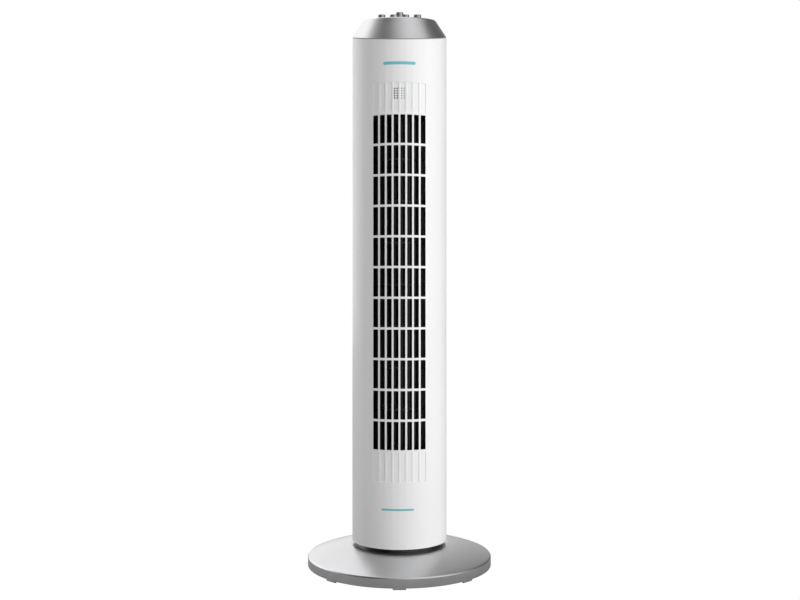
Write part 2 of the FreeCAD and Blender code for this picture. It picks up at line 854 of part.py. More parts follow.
def button_places():
    row = ["off", "low", "medium", "high"]
    for index, name in enumerate(row):
        yield f"button_{name}", S.button_spacing * (index - (len(row) - 1) / 2), S.button_row
    yield "button_swing", as_size(0), S.front_button


def make_top_cap():
    outer = cap_loft("cap_outer", as_size(0), as_size(0))
    inner = cap_loft("cap_inner", S.cap_wall, S.cap_wall)
    doc.recompute()
    rounded = doc.addObject("Part::Fillet", "cap_rounded")
    rounded.Base = outer
    edge = top_edge(outer.Shape)
    rounded.Edges = [(edge, S.cap_round.number, S.cap_round.number)]
    pillars = []
    bores = []
    for side in (-1, 1):
        x = pillar_place * side
        tall = S.switch_depth - S.cap_wall / 2
        pillars.append(cap_rod(f"cap_pillar_{side + 1}", S.pillar_radius, tall, x, switch_middle,
                               S.switch_depth))
        bores.append(cap_rod(f"cap_pillar_bore_{side + 1}", screw_bore, S.pillar_bore, x,
                             switch_middle, S.switch_depth))
    for name, x, y in button_places():
        bores.append(cap_rod(f"{name}_hole", S.button_radius + S.slide_fit, S.cap_wall * 4, x, y,
                             S.cap_wall * 2))
    shell = cut("cap_shell", rounded, [inner])
    node("top_cap", cut("top_cap", fuse("cap_solid", [shell, *pillars]), bores))


def top_edge(shape):
    """The number of the closed edge round the top face."""
    heights = [edge.CenterOfMass.z if len(edge.Vertexes) == 1 else 0 for edge in shape.Edges]
    return heights.index(max(heights)) + 1


def make_buttons():
    """Push buttons square to the slanted top: a head, a flange that retains it, and a stem."""
    for name, x, y in button_places():
        head = cap_rod(f"{name}_head", S.button_radius, S.button_height + flange_depth - S.flange_thick,
                       x, y, flange_depth - S.flange_thick)
        doc.recompute()
        rounded = doc.addObject("Part::Fillet", f"{name}_rounded")
        rounded.Base = head
        rounded.Edges = [(top_edge(head.Shape), S.button_round.number, S.button_round.number)]
        flange = cap_rod(f"{name}_flange", button_flange, S.flange_thick, x, y, flange_depth)
        stem = cap_rod(f"{name}_stem", S.stem_radius, S.stem_reach - flange_depth, x, y, S.stem_reach)
        node(name, fuse(name, [rounded, flange, stem]))


def make_switch_block():
    """The key switch under the cap, with a guide bore for each stem."""
    deep = S.button_row - S.front_button + button_flange * 2
    floor = S.switch_depth + S.switch_thick
    body = cap_block("switch_case", switch_half * 2, deep, S.switch_thick, 0, switch_middle, floor)
    ear_depth = S.switch_depth + S.flange_thick
    ears = cap_block("switch_ears", (pillar_place + S.pillar_radius) * 2, S.pillar_radius * 2,
                     S.flange_thick, 0, switch_middle, ear_depth)
    guide_floor = S.stem_reach + S.button_travel + S.slide_fit
    bores = [cap_rod(f"{name}_guide", S.stem_radius + S.slide_fit, guide_floor - S.switch_depth, x, y,
                     guide_floor) for name, x, y in button_places()]
    for side in (-1, 1):
        bores.append(cap_rod(f"ear_hole_{side + 1}", screw_bore, S.flange_thick * 2,
                             pillar_place * side, switch_middle, ear_depth + S.flange_thick / 2))
    node("switch_block", cut("switch_block", fuse("switch_solid", [body, ears]), bores))
    screws = []
    for side in (-1, 1):
        x = pillar_place * side
        head = cap_rod(f"switch_head_{side + 1}", S.screw_head, S.head_thick, x, switch_middle,
                       ear_depth + S.head_thick)
        shank = cap_rod(f"switch_shank_{side + 1}", S.screw_radius, S.flange_thick + S.pillar_bore, x,
                        switch_middle, ear_depth)
        screws.append(fuse(f"switch_screw_{side + 1}", [head, shank]))
    node("switch_screws", group("switch_screws", screws))


def make_indicator():
    """Little square lights in the closed cells, on a circuit board behind the shell."""
    front = S.tower_radius - S.blind_depth - S.light_inset
    lights = [block(f"light_{label}", S.light_side, S.light_length, S.light_side, x,
                    S.light_length / 2 - front, z - S.light_side / 2) for label, x, z in light_spots()]
    node("indicator_lights", group("indicator_lights", lights))
    wide = (S.light_offset + S.light_pair) * 2 + S.light_side * 2
    tall = S.light_row_pitch * (S.light_rows + 1)
    node("indicator_board", block("indicator_board", wide, S.board_thick, tall, 0,
                                  S.light_length + S.board_thick / 2 - front,
                                  light_floor - S.light_row_pitch))


# ---------------------------------------------------------------- air path and motor

def arc_wall(name, inner, wall, start, sweep, floor, tall):
    outer = rod(f"{name}_out", inner + wall, tall, 0, 0, floor, (0, 0, 1), start, sweep)
    core = rod(f"{name}_in", inner, tall, 0, 0, floor)
    return cut(name, outer, [core])


def make_air_guides():
    """The curved scroll and the tongue that turn the air from the back to the grille."""
    floor = carrier_top
    tall = bridge_floor - carrier_top
    angle = -S.guide_start
    x = (guide_inner + S.guide_wall / 2) * cosine(angle)
    back = guide_inner * cosine(angle) * tangent(angle)
    edge = x + S.guide_wall / 2
    front = root(shell_inner * shell_inner - edge * edge) - S.slide_fit * 3
    for name, side, start, sweep in (("air_scroll", 1, S.guide_start, S.guide_sweep),
                                     ("air_tongue", -1, 180 - S.guide_start - S.tongue_sweep,
                                      S.tongue_sweep)):
        wall = arc_wall(f"{name}_arc", guide_inner, S.guide_wall, start, sweep, floor, tall)
        lip = block(f"{name}_lip", S.guide_wall, front - back, tall, side * x, -(front + back) / 2, floor)
        node(name, fuse(name, [wall, lip]))


def carrier(name, floor, bore):
    """A cross plate between the shells, with its middle bored out."""
    disc = rod(f"{name}_disc", shell_inner - S.slide_fit, S.carrier_thick, z=floor)
    strip = block(f"{name}_strip", carrier_half_width * 2, S.tower_radius * 2, S.carrier_thick, 0, 0,
                  floor)
    holes = [rod(f"{name}_bore", bore, S.carrier_thick, z=floor)]
    for side in (-1, 1):
        holes.append(rod(f"{name}_hole_{side + 1}", screw_bore, S.carrier_thick, 0,
                         lug_place * side, floor))
    return common(f"{name}_plate", disc, strip), holes


def grommet_spots():
    for x in (-1, 1):
        for y in (-1, 1):
            yield f"{x + 1}_{y + 1}", S.grommet_place * x, S.grommet_place * y


def make_motor_carrier():
    plate, holes = carrier("motor_carrier", carrier_floor, S.impeller_hub + S.slide_fit)
    for label, x, y in grommet_spots():
        holes.append(rod(f"carrier_motor_hole_{label}", screw_bore, S.carrier_thick, x, y, carrier_floor))
    node("motor_carrier", cut("motor_carrier", plate, holes))
    rings = [tube(f"grommet_{label}", S.grommet_radius, screw_bore, S.grommet_height, x, y, motor_top)
             for label, x, y in grommet_spots()]
    node("motor_grommets", group("motor_grommets", rings))
    reach = S.carrier_thick + S.grommet_height + S.bell_wall
    screws = [screw(f"motor_screw_{label}", x, y, carrier_top, reach, up=False)
              for label, x, y in grommet_spots()]
    node("motor_screws", group("motor_screws", screws))


def make_bearing_bridge():
    plate, holes = carrier("bearing_bridge", bridge_floor, S.bearing_radius + S.press_fit)
    node("bearing_bridge", cut("bearing_bridge", plate, holes))
    node("bearing_rubber", tube("bearing_rubber", S.rubber_radius, S.bearing_radius + S.press_fit,
                                S.bearing_height - S.carrier_thick, z=bridge_top))
    node("upper_bearing", tube("upper_bearing", S.bearing_radius, S.stub_radius + S.running_fit,
                               S.bearing_height, z=bridge_floor))


def make_carrier_screws():
    screws = []
    for side in (-1, 1):
        y = lug_place * side
        reach = S.carrier_thick + S.lug_height - S.slide_fit
        screws.append(screw(f"carrier_screw_{side + 1}", 0, y, carrier_top, reach, up=False))
        screws.append(screw(f"bridge_screw_{side + 1}", 0, y, bridge_floor, reach))
    node("carrier_screws", group("carrier_screws", screws))


def motor_bell(name, floor, skin):
    """A cup round one end of the motor. skin is the level of its closed end."""
    cup = rod(f"{name}_cup", S.motor_radius, S.bell_height, z=floor)
    hollow_floor = floor if skin.number > floor.number else floor + S.bell_wall
    hollow = rod(f"{name}_hollow", S.motor_radius - S.bell_wall, S.bell_height - S.bell_wall,
                 z=hollow_floor)
    bore = rod(f"{name}_bore", S.motor_shaft_radius + S.running_fit, S.bell_height, z=floor)
    return cup, [hollow, bore]


def make_motor():
    cup, tools = motor_bell("motor_bell_lower", motor_floor, motor_floor)
    node("motor_bell_lower", cut("motor_bell_lower", cup, tools))
    cup, tools = motor_bell("motor_bell_upper", stator_top, motor_top)
    for label, x, y in grommet_spots():
        tools.append(rod(f"bell_hole_{label}", screw_bore, S.bell_height, x, y, stator_top))
    node("motor_bell_upper", cut("motor_bell_upper", cup, tools))
    node("motor_stator", tube("motor_stator", S.motor_radius, S.rotor_radius + S.air_gap,
                              S.stator_height, z=stator_floor))
    coil = S.bell_height - S.bell_wall * 2
    coils = [tube(f"coil_{label}", S.coil_outer, S.rotor_radius + S.bell_wall, coil, z=floor)
             for label, floor in (("low", stator_floor - coil), ("high", stator_top))]
    node("motor_windings", group("motor_windings", coils))


def make_wiring():
    node("motor_capacitor", block("motor_capacitor", S.capacitor_wide, S.capacitor_deep,
                                  S.capacitor_tall, 0, S.capacitor_inset - shell_inner, foot_top))
    node("terminal_block", block("terminal_block", S.capacitor_deep, S.terminal_deep, S.terminal_tall,
                                 shell_inner - S.terminal_inset, 0, foot_top))
    edge = boss_place - S.rear_boss_radius
    room = shell_inner - S.slide_fit
    back = root(room * room - edge * edge)
    node("wire_channel", block("wire_channel", S.channel_side, S.channel_side,
                               channel_top - motor_floor, S.channel_side / 2 - edge,
                               back - S.channel_side / 2, motor_floor))


# ---------------------------------------------------------------- oscillation drive on the tower

def make_swing_motor():
    floor = motor_bracket_floor
    wide = S.swing_motor_radius * 2 + S.bracket_ear * 2
    deep = S.swing_motor_radius * 2
    plate = block("bracket_plate", wide, deep, S.bracket_thick, 0, gear_centres, floor)
    legs = [block(f"bracket_leg_{side + 1}", S.bracket_ear, S.boss_radius * 2, floor - foot_top,
                  side * (wide - S.bracket_ear) / 2, gear_centres, foot_top) for side in (-1, 1)]
    hole = rod("bracket_bore", S.swing_shaft_radius + S.slide_fit, S.bracket_thick, 0, gear_centres,
               floor)
    node("swing_bracket", cut("swing_bracket", fuse("bracket_solid", [plate, *legs]), [hole]))
    case = rod("swing_motor_case", S.swing_motor_radius, S.swing_motor_height, 0, gear_centres,
               motor_bracket_top)
    seat = rod("swing_motor_bore", S.swing_shaft_radius + S.running_fit, S.swing_motor_height / 2, 0,
               gear_centres, motor_bracket_top)
    node("swing_motor", cut("swing_motor", case, [seat]))


def make_pinion():
    """The small gear on the swing motor's shaft, one tooth space turned to the fixed gear."""
    turn = 180.0 / S.pinion_teeth.number - 90.0
    node("swing_pinion", gear("swing_pinion", S.pinion_teeth, S.swing_shaft_radius + S.press_fit,
                              gear_floor, 0, gear_centres, turn))
    reach = motor_bracket_top - gear_floor + S.swing_motor_height / 2 - S.slide_fit
    node("pinion_shaft", rod("pinion_shaft", S.swing_shaft_radius, reach, 0, gear_centres, gear_floor))


# ---------------------------------------------------------------- impeller, spins in the tower

def blade_sketch(body):
    """One curved blade's section, near the rim of the discs."""
    sketch = new_sketch(body, "blade_outline", "XY_Plane", impeller_floor)
    inner = impeller_radius - S.blade_chord
    outline(sketch, [
        (inner, 0, S.blade_arc),
        (impeller_radius, S.blade_lead, ),
        (impeller_radius - S.blade_thick, S.blade_lead + S.blade_thick, ),
        (inner, S.blade_thick, ),
    ])
    return sketch


def make_impeller():
    body = doc.addObject("PartDesign::Body", "impeller_blades")
    blade = pad(body, "blade", blade_sketch(body), impeller_length)
    ring = body.newObject("PartDesign::PolarPattern", "blades")
    ring.Originals = [blade]
    ring.Axis = (blade.Profile[0], ["N_Axis"])
    ring.Angle = 360
    ring.setExpression("Occurrences", S.blade_count.text)
    body.Tip = ring
    step = (impeller_length - S.disc_thick) / (S.disc_count - 1)
    discs = []
    last = int(S.disc_count.number) - 1
    for index in range(last + 1):
        level = impeller_floor + step * index
        if index in (0, last):
            discs.append(rod(f"disc_{index}", impeller_radius, S.disc_thick, z=level))
        else:
            discs.append(tube(f"disc_{index}", impeller_radius,
                              impeller_radius - S.blade_chord - S.blade_chord, S.disc_thick, z=level))
    hub = rod("wheel_hub", S.impeller_hub, S.hub_length, z=impeller_floor - S.hub_drop)
    bore = rod("wheel_bore", S.motor_shaft_radius + S.press_fit, S.hub_length - S.disc_thick,
               z=impeller_floor - S.hub_drop)
    top_bore = rod("wheel_top_bore", S.stub_radius + S.press_fit, S.disc_thick,
                   z=impeller_top - S.disc_thick)
    node("impeller_wheel", cut("impeller_wheel", fuse("wheel_solid", [body, hub, *discs]),
                               [bore, top_bore]))


def make_impeller_fittings():
    shaft_floor = motor_floor + S.bell_wall / 2
    shaft_top = impeller_floor - S.hub_drop + S.hub_length - S.disc_thick
    node("motor_shaft", rod("motor_shaft", S.motor_shaft_radius, shaft_top - shaft_floor, z=shaft_floor))
    node("motor_rotor", tube("motor_rotor", S.rotor_radius, S.motor_shaft_radius + S.press_fit,
                             S.stator_height, z=stator_floor))
    stub_floor = impeller_top - S.disc_thick
    reach = S.disc_thick + S.bridge_gap + S.bearing_height
    node("stub_shaft", rod("stub_shaft", S.stub_radius, reach, z=stub_floor))


# ---------------------------------------------------------------- build, check and write

def broken(item):
    return any(word in item.State for word in ("Invalid", "Error"))


def build():
    make_base_cover()
    make_base_plate()
    make_base_fittings()
    make_cord_gland()
    make_swivel_ring()
    make_pivot_post()
    make_fixed_gear()
    make_front_shell()
    make_rear_shell()
    make_shell_screws()
    make_tower_foot()
    make_seam_ring()
    make_top_cap()
    make_buttons()
    make_switch_block()
    make_indicator()
    make_air_guides()
    make_motor_carrier()
    make_bearing_bridge()
    make_carrier_screws()
    make_motor()
    make_wiring()
    make_swing_motor()
    make_pinion()
    make_impeller()
    make_impeller_fittings()
    doc.recompute()


def write():
    failed = [item.Name for item in doc.Objects if broken(item)]
    if failed:
        raise RuntimeError(f"not computed: {failed}")
    os.makedirs("parts", exist_ok=True)
    for item in parts:
        if item.Shape.isNull() or not item.Shape.isValid():
            raise RuntimeError(f"{item.Label} has no sound shape")
    for item in parts:
        item.Shape.exportStep(f"parts/{item.Label}.step")
        box = item.Shape.BoundBox
        print(f"{item.Label}: {len(item.Shape.Solids)} solid(s), {item.Shape.Volume:.0f} mm3, "
              f"z {box.ZMin:.2f} to {box.ZMax:.2f}")


build()
write()
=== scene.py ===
# %% [markdown]
# # A tower fan, finished in Blender
# The engineering model already fixes every size, place and moving joint of this fan.
# What is left for Blender is how it looks: rounded edges, smooth curves and true finishes.
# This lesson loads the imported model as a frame, then builds one visible piece at a time on it.

# %% Load the frame
import json
import math

import bmesh
import bpy
from mathutils import Matrix, Vector


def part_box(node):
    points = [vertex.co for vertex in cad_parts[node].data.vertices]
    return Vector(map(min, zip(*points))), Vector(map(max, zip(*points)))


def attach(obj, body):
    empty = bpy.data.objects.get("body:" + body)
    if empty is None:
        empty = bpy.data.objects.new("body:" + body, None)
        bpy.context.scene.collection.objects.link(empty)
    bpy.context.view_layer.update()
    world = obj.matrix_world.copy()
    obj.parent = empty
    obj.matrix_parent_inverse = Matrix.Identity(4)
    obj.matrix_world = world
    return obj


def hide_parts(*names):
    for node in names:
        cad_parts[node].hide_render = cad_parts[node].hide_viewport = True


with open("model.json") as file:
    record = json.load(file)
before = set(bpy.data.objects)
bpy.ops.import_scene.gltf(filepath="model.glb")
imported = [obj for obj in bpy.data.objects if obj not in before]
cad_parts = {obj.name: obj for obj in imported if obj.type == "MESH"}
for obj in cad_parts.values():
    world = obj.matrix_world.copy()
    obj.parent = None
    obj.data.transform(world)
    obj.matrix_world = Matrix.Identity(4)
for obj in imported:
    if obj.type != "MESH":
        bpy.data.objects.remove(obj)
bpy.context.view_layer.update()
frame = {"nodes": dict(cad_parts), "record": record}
MM = 0.001
print("nodes:", len(frame["nodes"]))

# %% [markdown]
# ## Camera
# The fan stands upright and the lens looks at it level, from a little under half its height.
# A camera that isn't tilted keeps the tower's two edges parallel, as an architect's view does.
# The distance and the lens go together: a 45 mm lens at 1.4 m sees the whole fan with little bulge.

# %% Camera, level with the middle of the fan
CAMERA_AWAY = 1.384
CAMERA_HEIGHT = 0.3651
CAMERA_SIDE = 0.0008

lens = bpy.data.cameras.new("lens")
lens.lens = 45.0
lens.sensor_width = 36.0
camera = bpy.data.objects.new("camera", lens)
camera.location = (CAMERA_SIDE, -CAMERA_AWAY, CAMERA_HEIGHT)
camera.rotation_euler = (math.radians(90.0), 0.0, 0.0)
bpy.context.collection.objects.link(camera)
bpy.context.scene.camera = camera
print("camera looks level at", CAMERA_HEIGHT, "m")

# %% [markdown]
# ## Studio
# A product like this is shown in soft, even light. The room is painted onto the sky: the tone
# depends on the compass direction, bright behind on the left, dim in front on the left, light
# in front on the right. Those tones become the bright and dark bands on the silver lacquer.

# %% Tones of the room by compass direction
scene = bpy.context.scene
scene.view_settings.view_transform = "Standard"
scene.view_settings.look = "None"

ROOM = [(-180, 1.12), (-158, 1.34), (-112, 1.80), (-94, 0.45), (-68, 0.10), (-36, 0.03), (0, 0.44),
        (35, 1.02), (80, 1.02), (104, 0.12), (150, 0.14), (172, 0.64), (180, 1.15)]
ROOM_PEAK = max(tone for angle, tone in ROOM)

world = bpy.data.worlds.new("studio_sky")
world.use_nodes = True
scene.world = world
nodes, links = world.node_tree.nodes, world.node_tree.links
sky = nodes["Background"]
where = nodes.new("ShaderNodeTexCoord")
split = nodes.new("ShaderNodeSeparateXYZ")
links.new(where.outputs["Generated"], split.inputs[0])
back = nodes.new("ShaderNodeMath")
back.operation = "MULTIPLY"
back.inputs[1].default_value = -1.0
links.new(split.outputs["Y"], back.inputs[0])
compass = nodes.new("ShaderNodeMath")
compass.operation = "ARCTAN2"
links.new(split.outputs["X"], compass.inputs[0])
links.new(back.outputs[0], compass.inputs[1])
turn = nodes.new("ShaderNodeMapRange")
turn.inputs["From Min"].default_value = -math.pi
turn.inputs["From Max"].default_value = math.pi
links.new(compass.outputs[0], turn.inputs["Value"])
tones = nodes.new("ShaderNodeValToRGB")
while len(tones.color_ramp.elements) < len(ROOM):
    tones.color_ramp.elements.new(0.5)
for stop, (angle, tone) in zip(tones.color_ramp.elements, ROOM):
    stop.position = (angle + 180) / 360
    stop.color = (tone / ROOM_PEAK,) * 3 + (1.0,)
links.new(turn.outputs["Result"], tones.inputs["Fac"])
print("room tones:", len(ROOM), "brightest", ROOM_PEAK)

# %% [markdown]
# Straight above, the room has a bright ceiling. Only surfaces that lean towards the lens mirror it:
# it draws the thin light line on the rounded edge of the base. The lens itself sees a plain white
# room, so that the fan stands free. The Light Path node tells the two apart.

# %% The ceiling, and a white room for the lens
CEILING_FROM = 66.0
CEILING_FULL = 80.0
CEILING_TONE = 1.5
MIX_FIRST, MIX_SECOND, MIX_RESULT = 6, 7, 2     # the colour sockets of a Mix node
ceiling = nodes.new("ShaderNodeMapRange")
ceiling.inputs["From Min"].default_value = math.sin(math.radians(CEILING_FROM))
ceiling.inputs["From Max"].default_value = math.sin(math.radians(CEILING_FULL))
links.new(split.outputs["Z"], ceiling.inputs["Value"])
overhead = nodes.new("ShaderNodeMix")
overhead.data_type = "RGBA"
overhead.inputs[MIX_SECOND].default_value = (CEILING_TONE / ROOM_PEAK,) * 3 + (1.0,)
links.new(ceiling.outputs["Result"], overhead.inputs["Factor"])
links.new(tones.outputs["Color"], overhead.inputs[MIX_FIRST])
links.new(overhead.outputs[MIX_RESULT], sky.inputs["Color"])
sky.inputs["Strength"].default_value = ROOM_PEAK

white_room = nodes.new("ShaderNodeBackground")
white_room.inputs["Color"].default_value = (1.0, 1.0, 1.0, 1.0)
seen = nodes.new("ShaderNodeLightPath")
pick = nodes.new("ShaderNodeMixShader")
links.new(seen.outputs["Is Camera Ray"], pick.inputs["Fac"])
links.new(sky.outputs[0], pick.inputs[1])
links.new(white_room.outputs[0], pick.inputs[2])
links.new(pick.outputs[0], nodes["World Output"].inputs["Surface"])

# %% [markdown]
# Two large soft lamps stand in front. The strong one on the right turns the tower from grey on the
# left to white on the right. The weak one on the left keeps the grey side from going dark. Neither
# is mirrored in the silver, since a lamp's sharp square would spoil the soft bands.

# %% Two large soft lamps
LAMP_WIDE = 1.6
LAMP_TALL = 2.0


def soft_lamp(name, place, aim_height, watts):
    """An area lamp that faces the fan's axis and isn't mirrored in it."""
    light = bpy.data.lights.new(name, "AREA")
    light.shape = "RECTANGLE"
    light.size = LAMP_WIDE
    light.size_y = LAMP_TALL
    light.energy = watts
    lamp = bpy.data.objects.new(name, light)
    lamp.location = place
    towards = Vector((0.0, 0.0, aim_height)) - Vector(place)
    lamp.rotation_euler = towards.to_track_quat("-Z", "Y").to_euler()
    lamp.visible_glossy = False
    bpy.context.collection.objects.link(lamp)


soft_lamp("key_lamp", (2.0, -1.35, 0.20), 0.30, 58.0)
soft_lamp("fill_lamp", (-1.6, -1.3, 0.12), 0.25, 13.0)
print("lamps:", len(bpy.data.lights))

# %% [markdown]
# ## Finishes
# Each finish is built from nodes, never from a picture. The recipe is the same for all: a fine
# noise breaks up the colour and the gloss a little, and a finer one bends the surface by a few
# hundredths of a millimetre. Real plastic and metal are never perfectly even, and the eye notices.

# %% One recipe for all finishes
NOISE_SPAN = (0.3, 0.7)
GRAIN_DEPTH = 0.4 * MM


def make_finish(name, colour, rough, metal=0.0, coat=0.0, grain=900.0, mottle=0.04, spread=0.05,
                bump=0.03, cloud=14.0, stretch=(1.0, 1.0, 1.0)):
    """A procedural finish: colour and gloss vary with noise, and a fine bump gives it grain."""
    material = bpy.data.materials.new(name)
    material.use_nodes = True
    nodes, links = material.node_tree.nodes, material.node_tree.links
    shader = nodes["Principled BSDF"]
    shader.inputs["Metallic"].default_value = metal
    shader.inputs["Coat Weight"].default_value = coat
    shader.inputs["Coat Roughness"].default_value = 0.06
    where = nodes.new("ShaderNodeTexCoord")
    turn = nodes.new("ShaderNodeMapping")
    turn.inputs["Scale"].default_value = stretch
    links.new(where.outputs["Object"], turn.inputs["Vector"])

    fine = nodes.new("ShaderNodeTexNoise")
    fine.inputs["Scale"].default_value = grain
    fine.inputs["Detail"].default_value = 2.0
    broad = nodes.new("ShaderNodeTexNoise")
    broad.inputs["Scale"].default_value = cloud
    broad.inputs["Detail"].default_value = 3.0
    for noise in (fine, broad):
        links.new(turn.outputs["Vector"], noise.inputs["Vector"])

    tint = nodes.new("ShaderNodeValToRGB")
    low = [c * (1.0 - mottle) for c in colour]
    high = [min(1.0, c * (1.0 + mottle)) for c in colour]
    for stop, place, shade in zip(tint.color_ramp.elements, NOISE_SPAN, (low, high)):
        stop.position = place
        stop.color = (*shade, 1.0)
    both = nodes.new("ShaderNodeMix")
    both.inputs["Factor"].default_value = 0.5
    links.new(fine.outputs["Fac"], both.inputs["A"])
    links.new(broad.outputs["Fac"], both.inputs["B"])
    links.new(both.outputs["Result"], tint.inputs["Fac"])
    links.new(tint.outputs["Color"], shader.inputs["Base Color"])

    gloss = nodes.new("ShaderNodeMapRange")
    gloss.inputs["From Min"].default_value, gloss.inputs["From Max"].default_value = NOISE_SPAN
    gloss.inputs["To Min"].default_value = max(0.02, rough - spread)
    gloss.inputs["To Max"].default_value = rough + spread
    links.new(broad.outputs["Fac"], gloss.inputs["Value"])
    links.new(gloss.outputs["Result"], shader.inputs["Roughness"])

    relief = nodes.new("ShaderNodeBump")
    relief.inputs["Strength"].default_value = bump
    relief.inputs["Distance"].default_value = GRAIN_DEPTH
    links.new(fine.outputs["Fac"], relief.inputs["Height"])
    links.new(relief.outputs["Normal"], shader.inputs["Normal"])
    return material


# %% [markdown]
# The outside uses five finishes: white moulded plastic on the tower, silver lacquer on the cap and
# the base, a harder silver on the buttons, polished black on the turntable and teal ink on the
# marks. Inside are black plastic, steel, copper and a few more.

# %% The finishes of this fan
white_shell = make_finish("white_shell", (0.85, 0.85, 0.847), 0.36, grain=1500.0, mottle=0.012,
                          spread=0.03, bump=0.05, coat=0.12)
satin_silver = make_finish("satin_silver", (0.60, 0.60, 0.61), 0.31, metal=0.98, grain=4200.0,
                           mottle=0.10, spread=0.04, bump=0.05)
button_silver = make_finish("button_silver", (0.47, 0.47, 0.48), 0.30, metal=1.0, grain=3000.0,
                            mottle=0.05, spread=0.04, bump=0.03)
gloss_black = make_finish("gloss_black", (0.008, 0.008, 0.009), 0.10, coat=0.8, grain=1200.0,
                          mottle=0.1, spread=0.03, bump=0.01)
black_plastic = make_finish("black_plastic", (0.030, 0.030, 0.031), 0.36, grain=1600.0, mottle=0.15,
                            spread=0.08, bump=0.12)
grey_plastic = make_finish("grey_plastic", (0.34, 0.34, 0.345), 0.48, grain=1600.0, mottle=0.08,
                           spread=0.06, bump=0.10)
nylon = make_finish("nylon", (0.72, 0.70, 0.63), 0.42, grain=1100.0, mottle=0.05, bump=0.06)
rubber = make_finish("rubber", (0.022, 0.022, 0.022), 0.82, grain=2200.0, mottle=0.2, bump=0.25)
steel = make_finish("steel", (0.55, 0.55, 0.56), 0.30, metal=1.0, grain=500.0, mottle=0.08,
                    bump=0.05, stretch=(1.0, 1.0, 12.0))
zinc = make_finish("zinc", (0.50, 0.51, 0.52), 0.42, metal=1.0, grain=350.0, mottle=0.15, bump=0.06)
bronze = make_finish("bronze", (0.50, 0.34, 0.17), 0.45, metal=1.0, grain=2600.0, mottle=0.2,
                     bump=0.1)
copper = make_finish("copper", (0.60, 0.24, 0.10), 0.30, metal=1.0, grain=2600.0, mottle=0.2,
                     bump=0.3, stretch=(1.0, 1.0, 9.0))
circuit_green = make_finish("circuit_green", (0.03, 0.14, 0.06), 0.4, grain=1800.0, mottle=0.1)
teal_ink = make_finish("teal_ink", (0.17, 0.52, 0.58), 0.45, grain=2400.0, mottle=0.05, bump=0.03)
FINISHES = {
    "white_shell": white_shell, "satin_silver": satin_silver, "button_silver": button_silver,
    "gloss_black": gloss_black, "black_plastic": black_plastic, "grey_plastic": grey_plastic,
    "nylon": nylon, "rubber": rubber, "steel": steel, "zinc": zinc, "bronze": bronze,
    "copper": copper, "circuit_green": circuit_green,
}
print("finishes:", len(FINISHES) + 1)

# %% [markdown]
# ## Dress the inner parts
# Most pieces inside the tower already have the right shape, so they only need their finish.
# The record says which finish each node wears, so a short loop dresses them all.

# %% Give every engineering node its finish
slots_of = {entry["node"]: entry["material_slot"] for entry in frame["record"]["subparts"]}
for node, slot in slots_of.items():
    mesh = frame["nodes"][node].data
    mesh.materials.clear()
    mesh.materials.append(FINISHES[slot])
print("dressed", len(slots_of), "nodes")


# %% [markdown]
# ## Shared tools
# Four small helpers serve every piece below. One turns points and faces into an object, with
# outward faces and smooth shading that breaks at sharp edges. One softens edges, because a
# moulded edge is never razor sharp. One evens out the shading of large faces beside small ones.
# The last hands a finished piece to the body that it rides on.

# %% Helpers for meshes
def new_piece(name, points, faces, finish, crease=35.0):
    """A mesh object from points and faces, closed, facing outwards and smoothly shaded."""
    mesh = bpy.data.meshes.new(name)
    mesh.from_pydata([tuple(p) for p in points], [], faces)
    tidy = bmesh.new()
    tidy.from_mesh(mesh)
    bmesh.ops.remove_doubles(tidy, verts=tidy.verts, dist=1e-7)
    bmesh.ops.recalc_face_normals(tidy, faces=tidy.faces)
    tidy.to_mesh(mesh)
    tidy.free()
    return as_object(name, mesh, finish, crease)


def as_object(name, mesh, finish, crease=35.0):
    mesh.materials.clear()
    mesh.materials.append(finish)
    mesh.shade_smooth()
    mesh.set_sharp_from_angle(angle=math.radians(crease))
    piece = bpy.data.objects.new(name, mesh)
    bpy.context.collection.objects.link(piece)
    return piece


def apply_all(piece):
    """Makes the modifiers permanent, so that the piece is a plain mesh."""
    seen = piece.evaluated_get(bpy.context.evaluated_depsgraph_get())
    mesh = bpy.data.meshes.new_from_object(seen)
    piece.modifiers.clear()
    old = piece.data
    piece.data = mesh
    bpy.data.meshes.remove(old)
    return piece


def soften(piece, width, steps=2, angle=35.0):
    """Rounds the sharp edges by a small width."""
    edge = piece.modifiers.new("rounded_edges", "BEVEL")
    edge.width = width
    edge.segments = steps
    edge.limit_method = "ANGLE"
    edge.angle_limit = math.radians(angle)
    edge.harden_normals = True
    return apply_all(piece)


def even_shading(piece, angle=50.0):
    """Makes large faces shade evenly up to their rounded edges, and keeps cut edges sharp."""
    piece.data.shade_smooth()
    piece.data.set_sharp_from_angle(angle=math.radians(angle))
    even = piece.modifiers.new("even_shading", "WEIGHTED_NORMAL")
    even.weight = 100
    even.keep_sharp = True
    return apply_all(piece)


def hand_over(piece, body, slot, *nodes):
    """The piece rides on a body and stands for engineering nodes, which it hides. The slot is not
    used.
    """
    if nodes:
        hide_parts(*nodes)
    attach(piece, body)
    print(f"{piece.name}: {len(piece.data.polygons)} faces on {body}")
    return piece


# %% [markdown]
# Many pieces of a fan are turned: the base, the turntable ring, the buttons. They are described by
# half of their section, and the section is swept round the axis. Corners are rounded in the section
# itself, which gives cleaner shading than rounding the swept mesh.

# %% Turned pieces from a half section
def rounded_section(corners, steps=5):
    """Points of an open section. A corner's third value is its rounding."""
    path = []
    last = len(corners) - 1
    for index, corner in enumerate(corners):
        here = Vector(corner[:2])
        reach = corner[2] if len(corner) > 2 else 0.0
        if reach == 0.0 or index in (0, last):
            path.append(here)
            continue
        before = here + (Vector(corners[index - 1][:2]) - here).normalized() * reach
        after = here + (Vector(corners[index + 1][:2]) - here).normalized() * reach
        for step in range(steps + 1):
            t = step / steps
            path.append(before * (1 - t) ** 2 + here * 2 * t * (1 - t) + after * t ** 2)
    return path


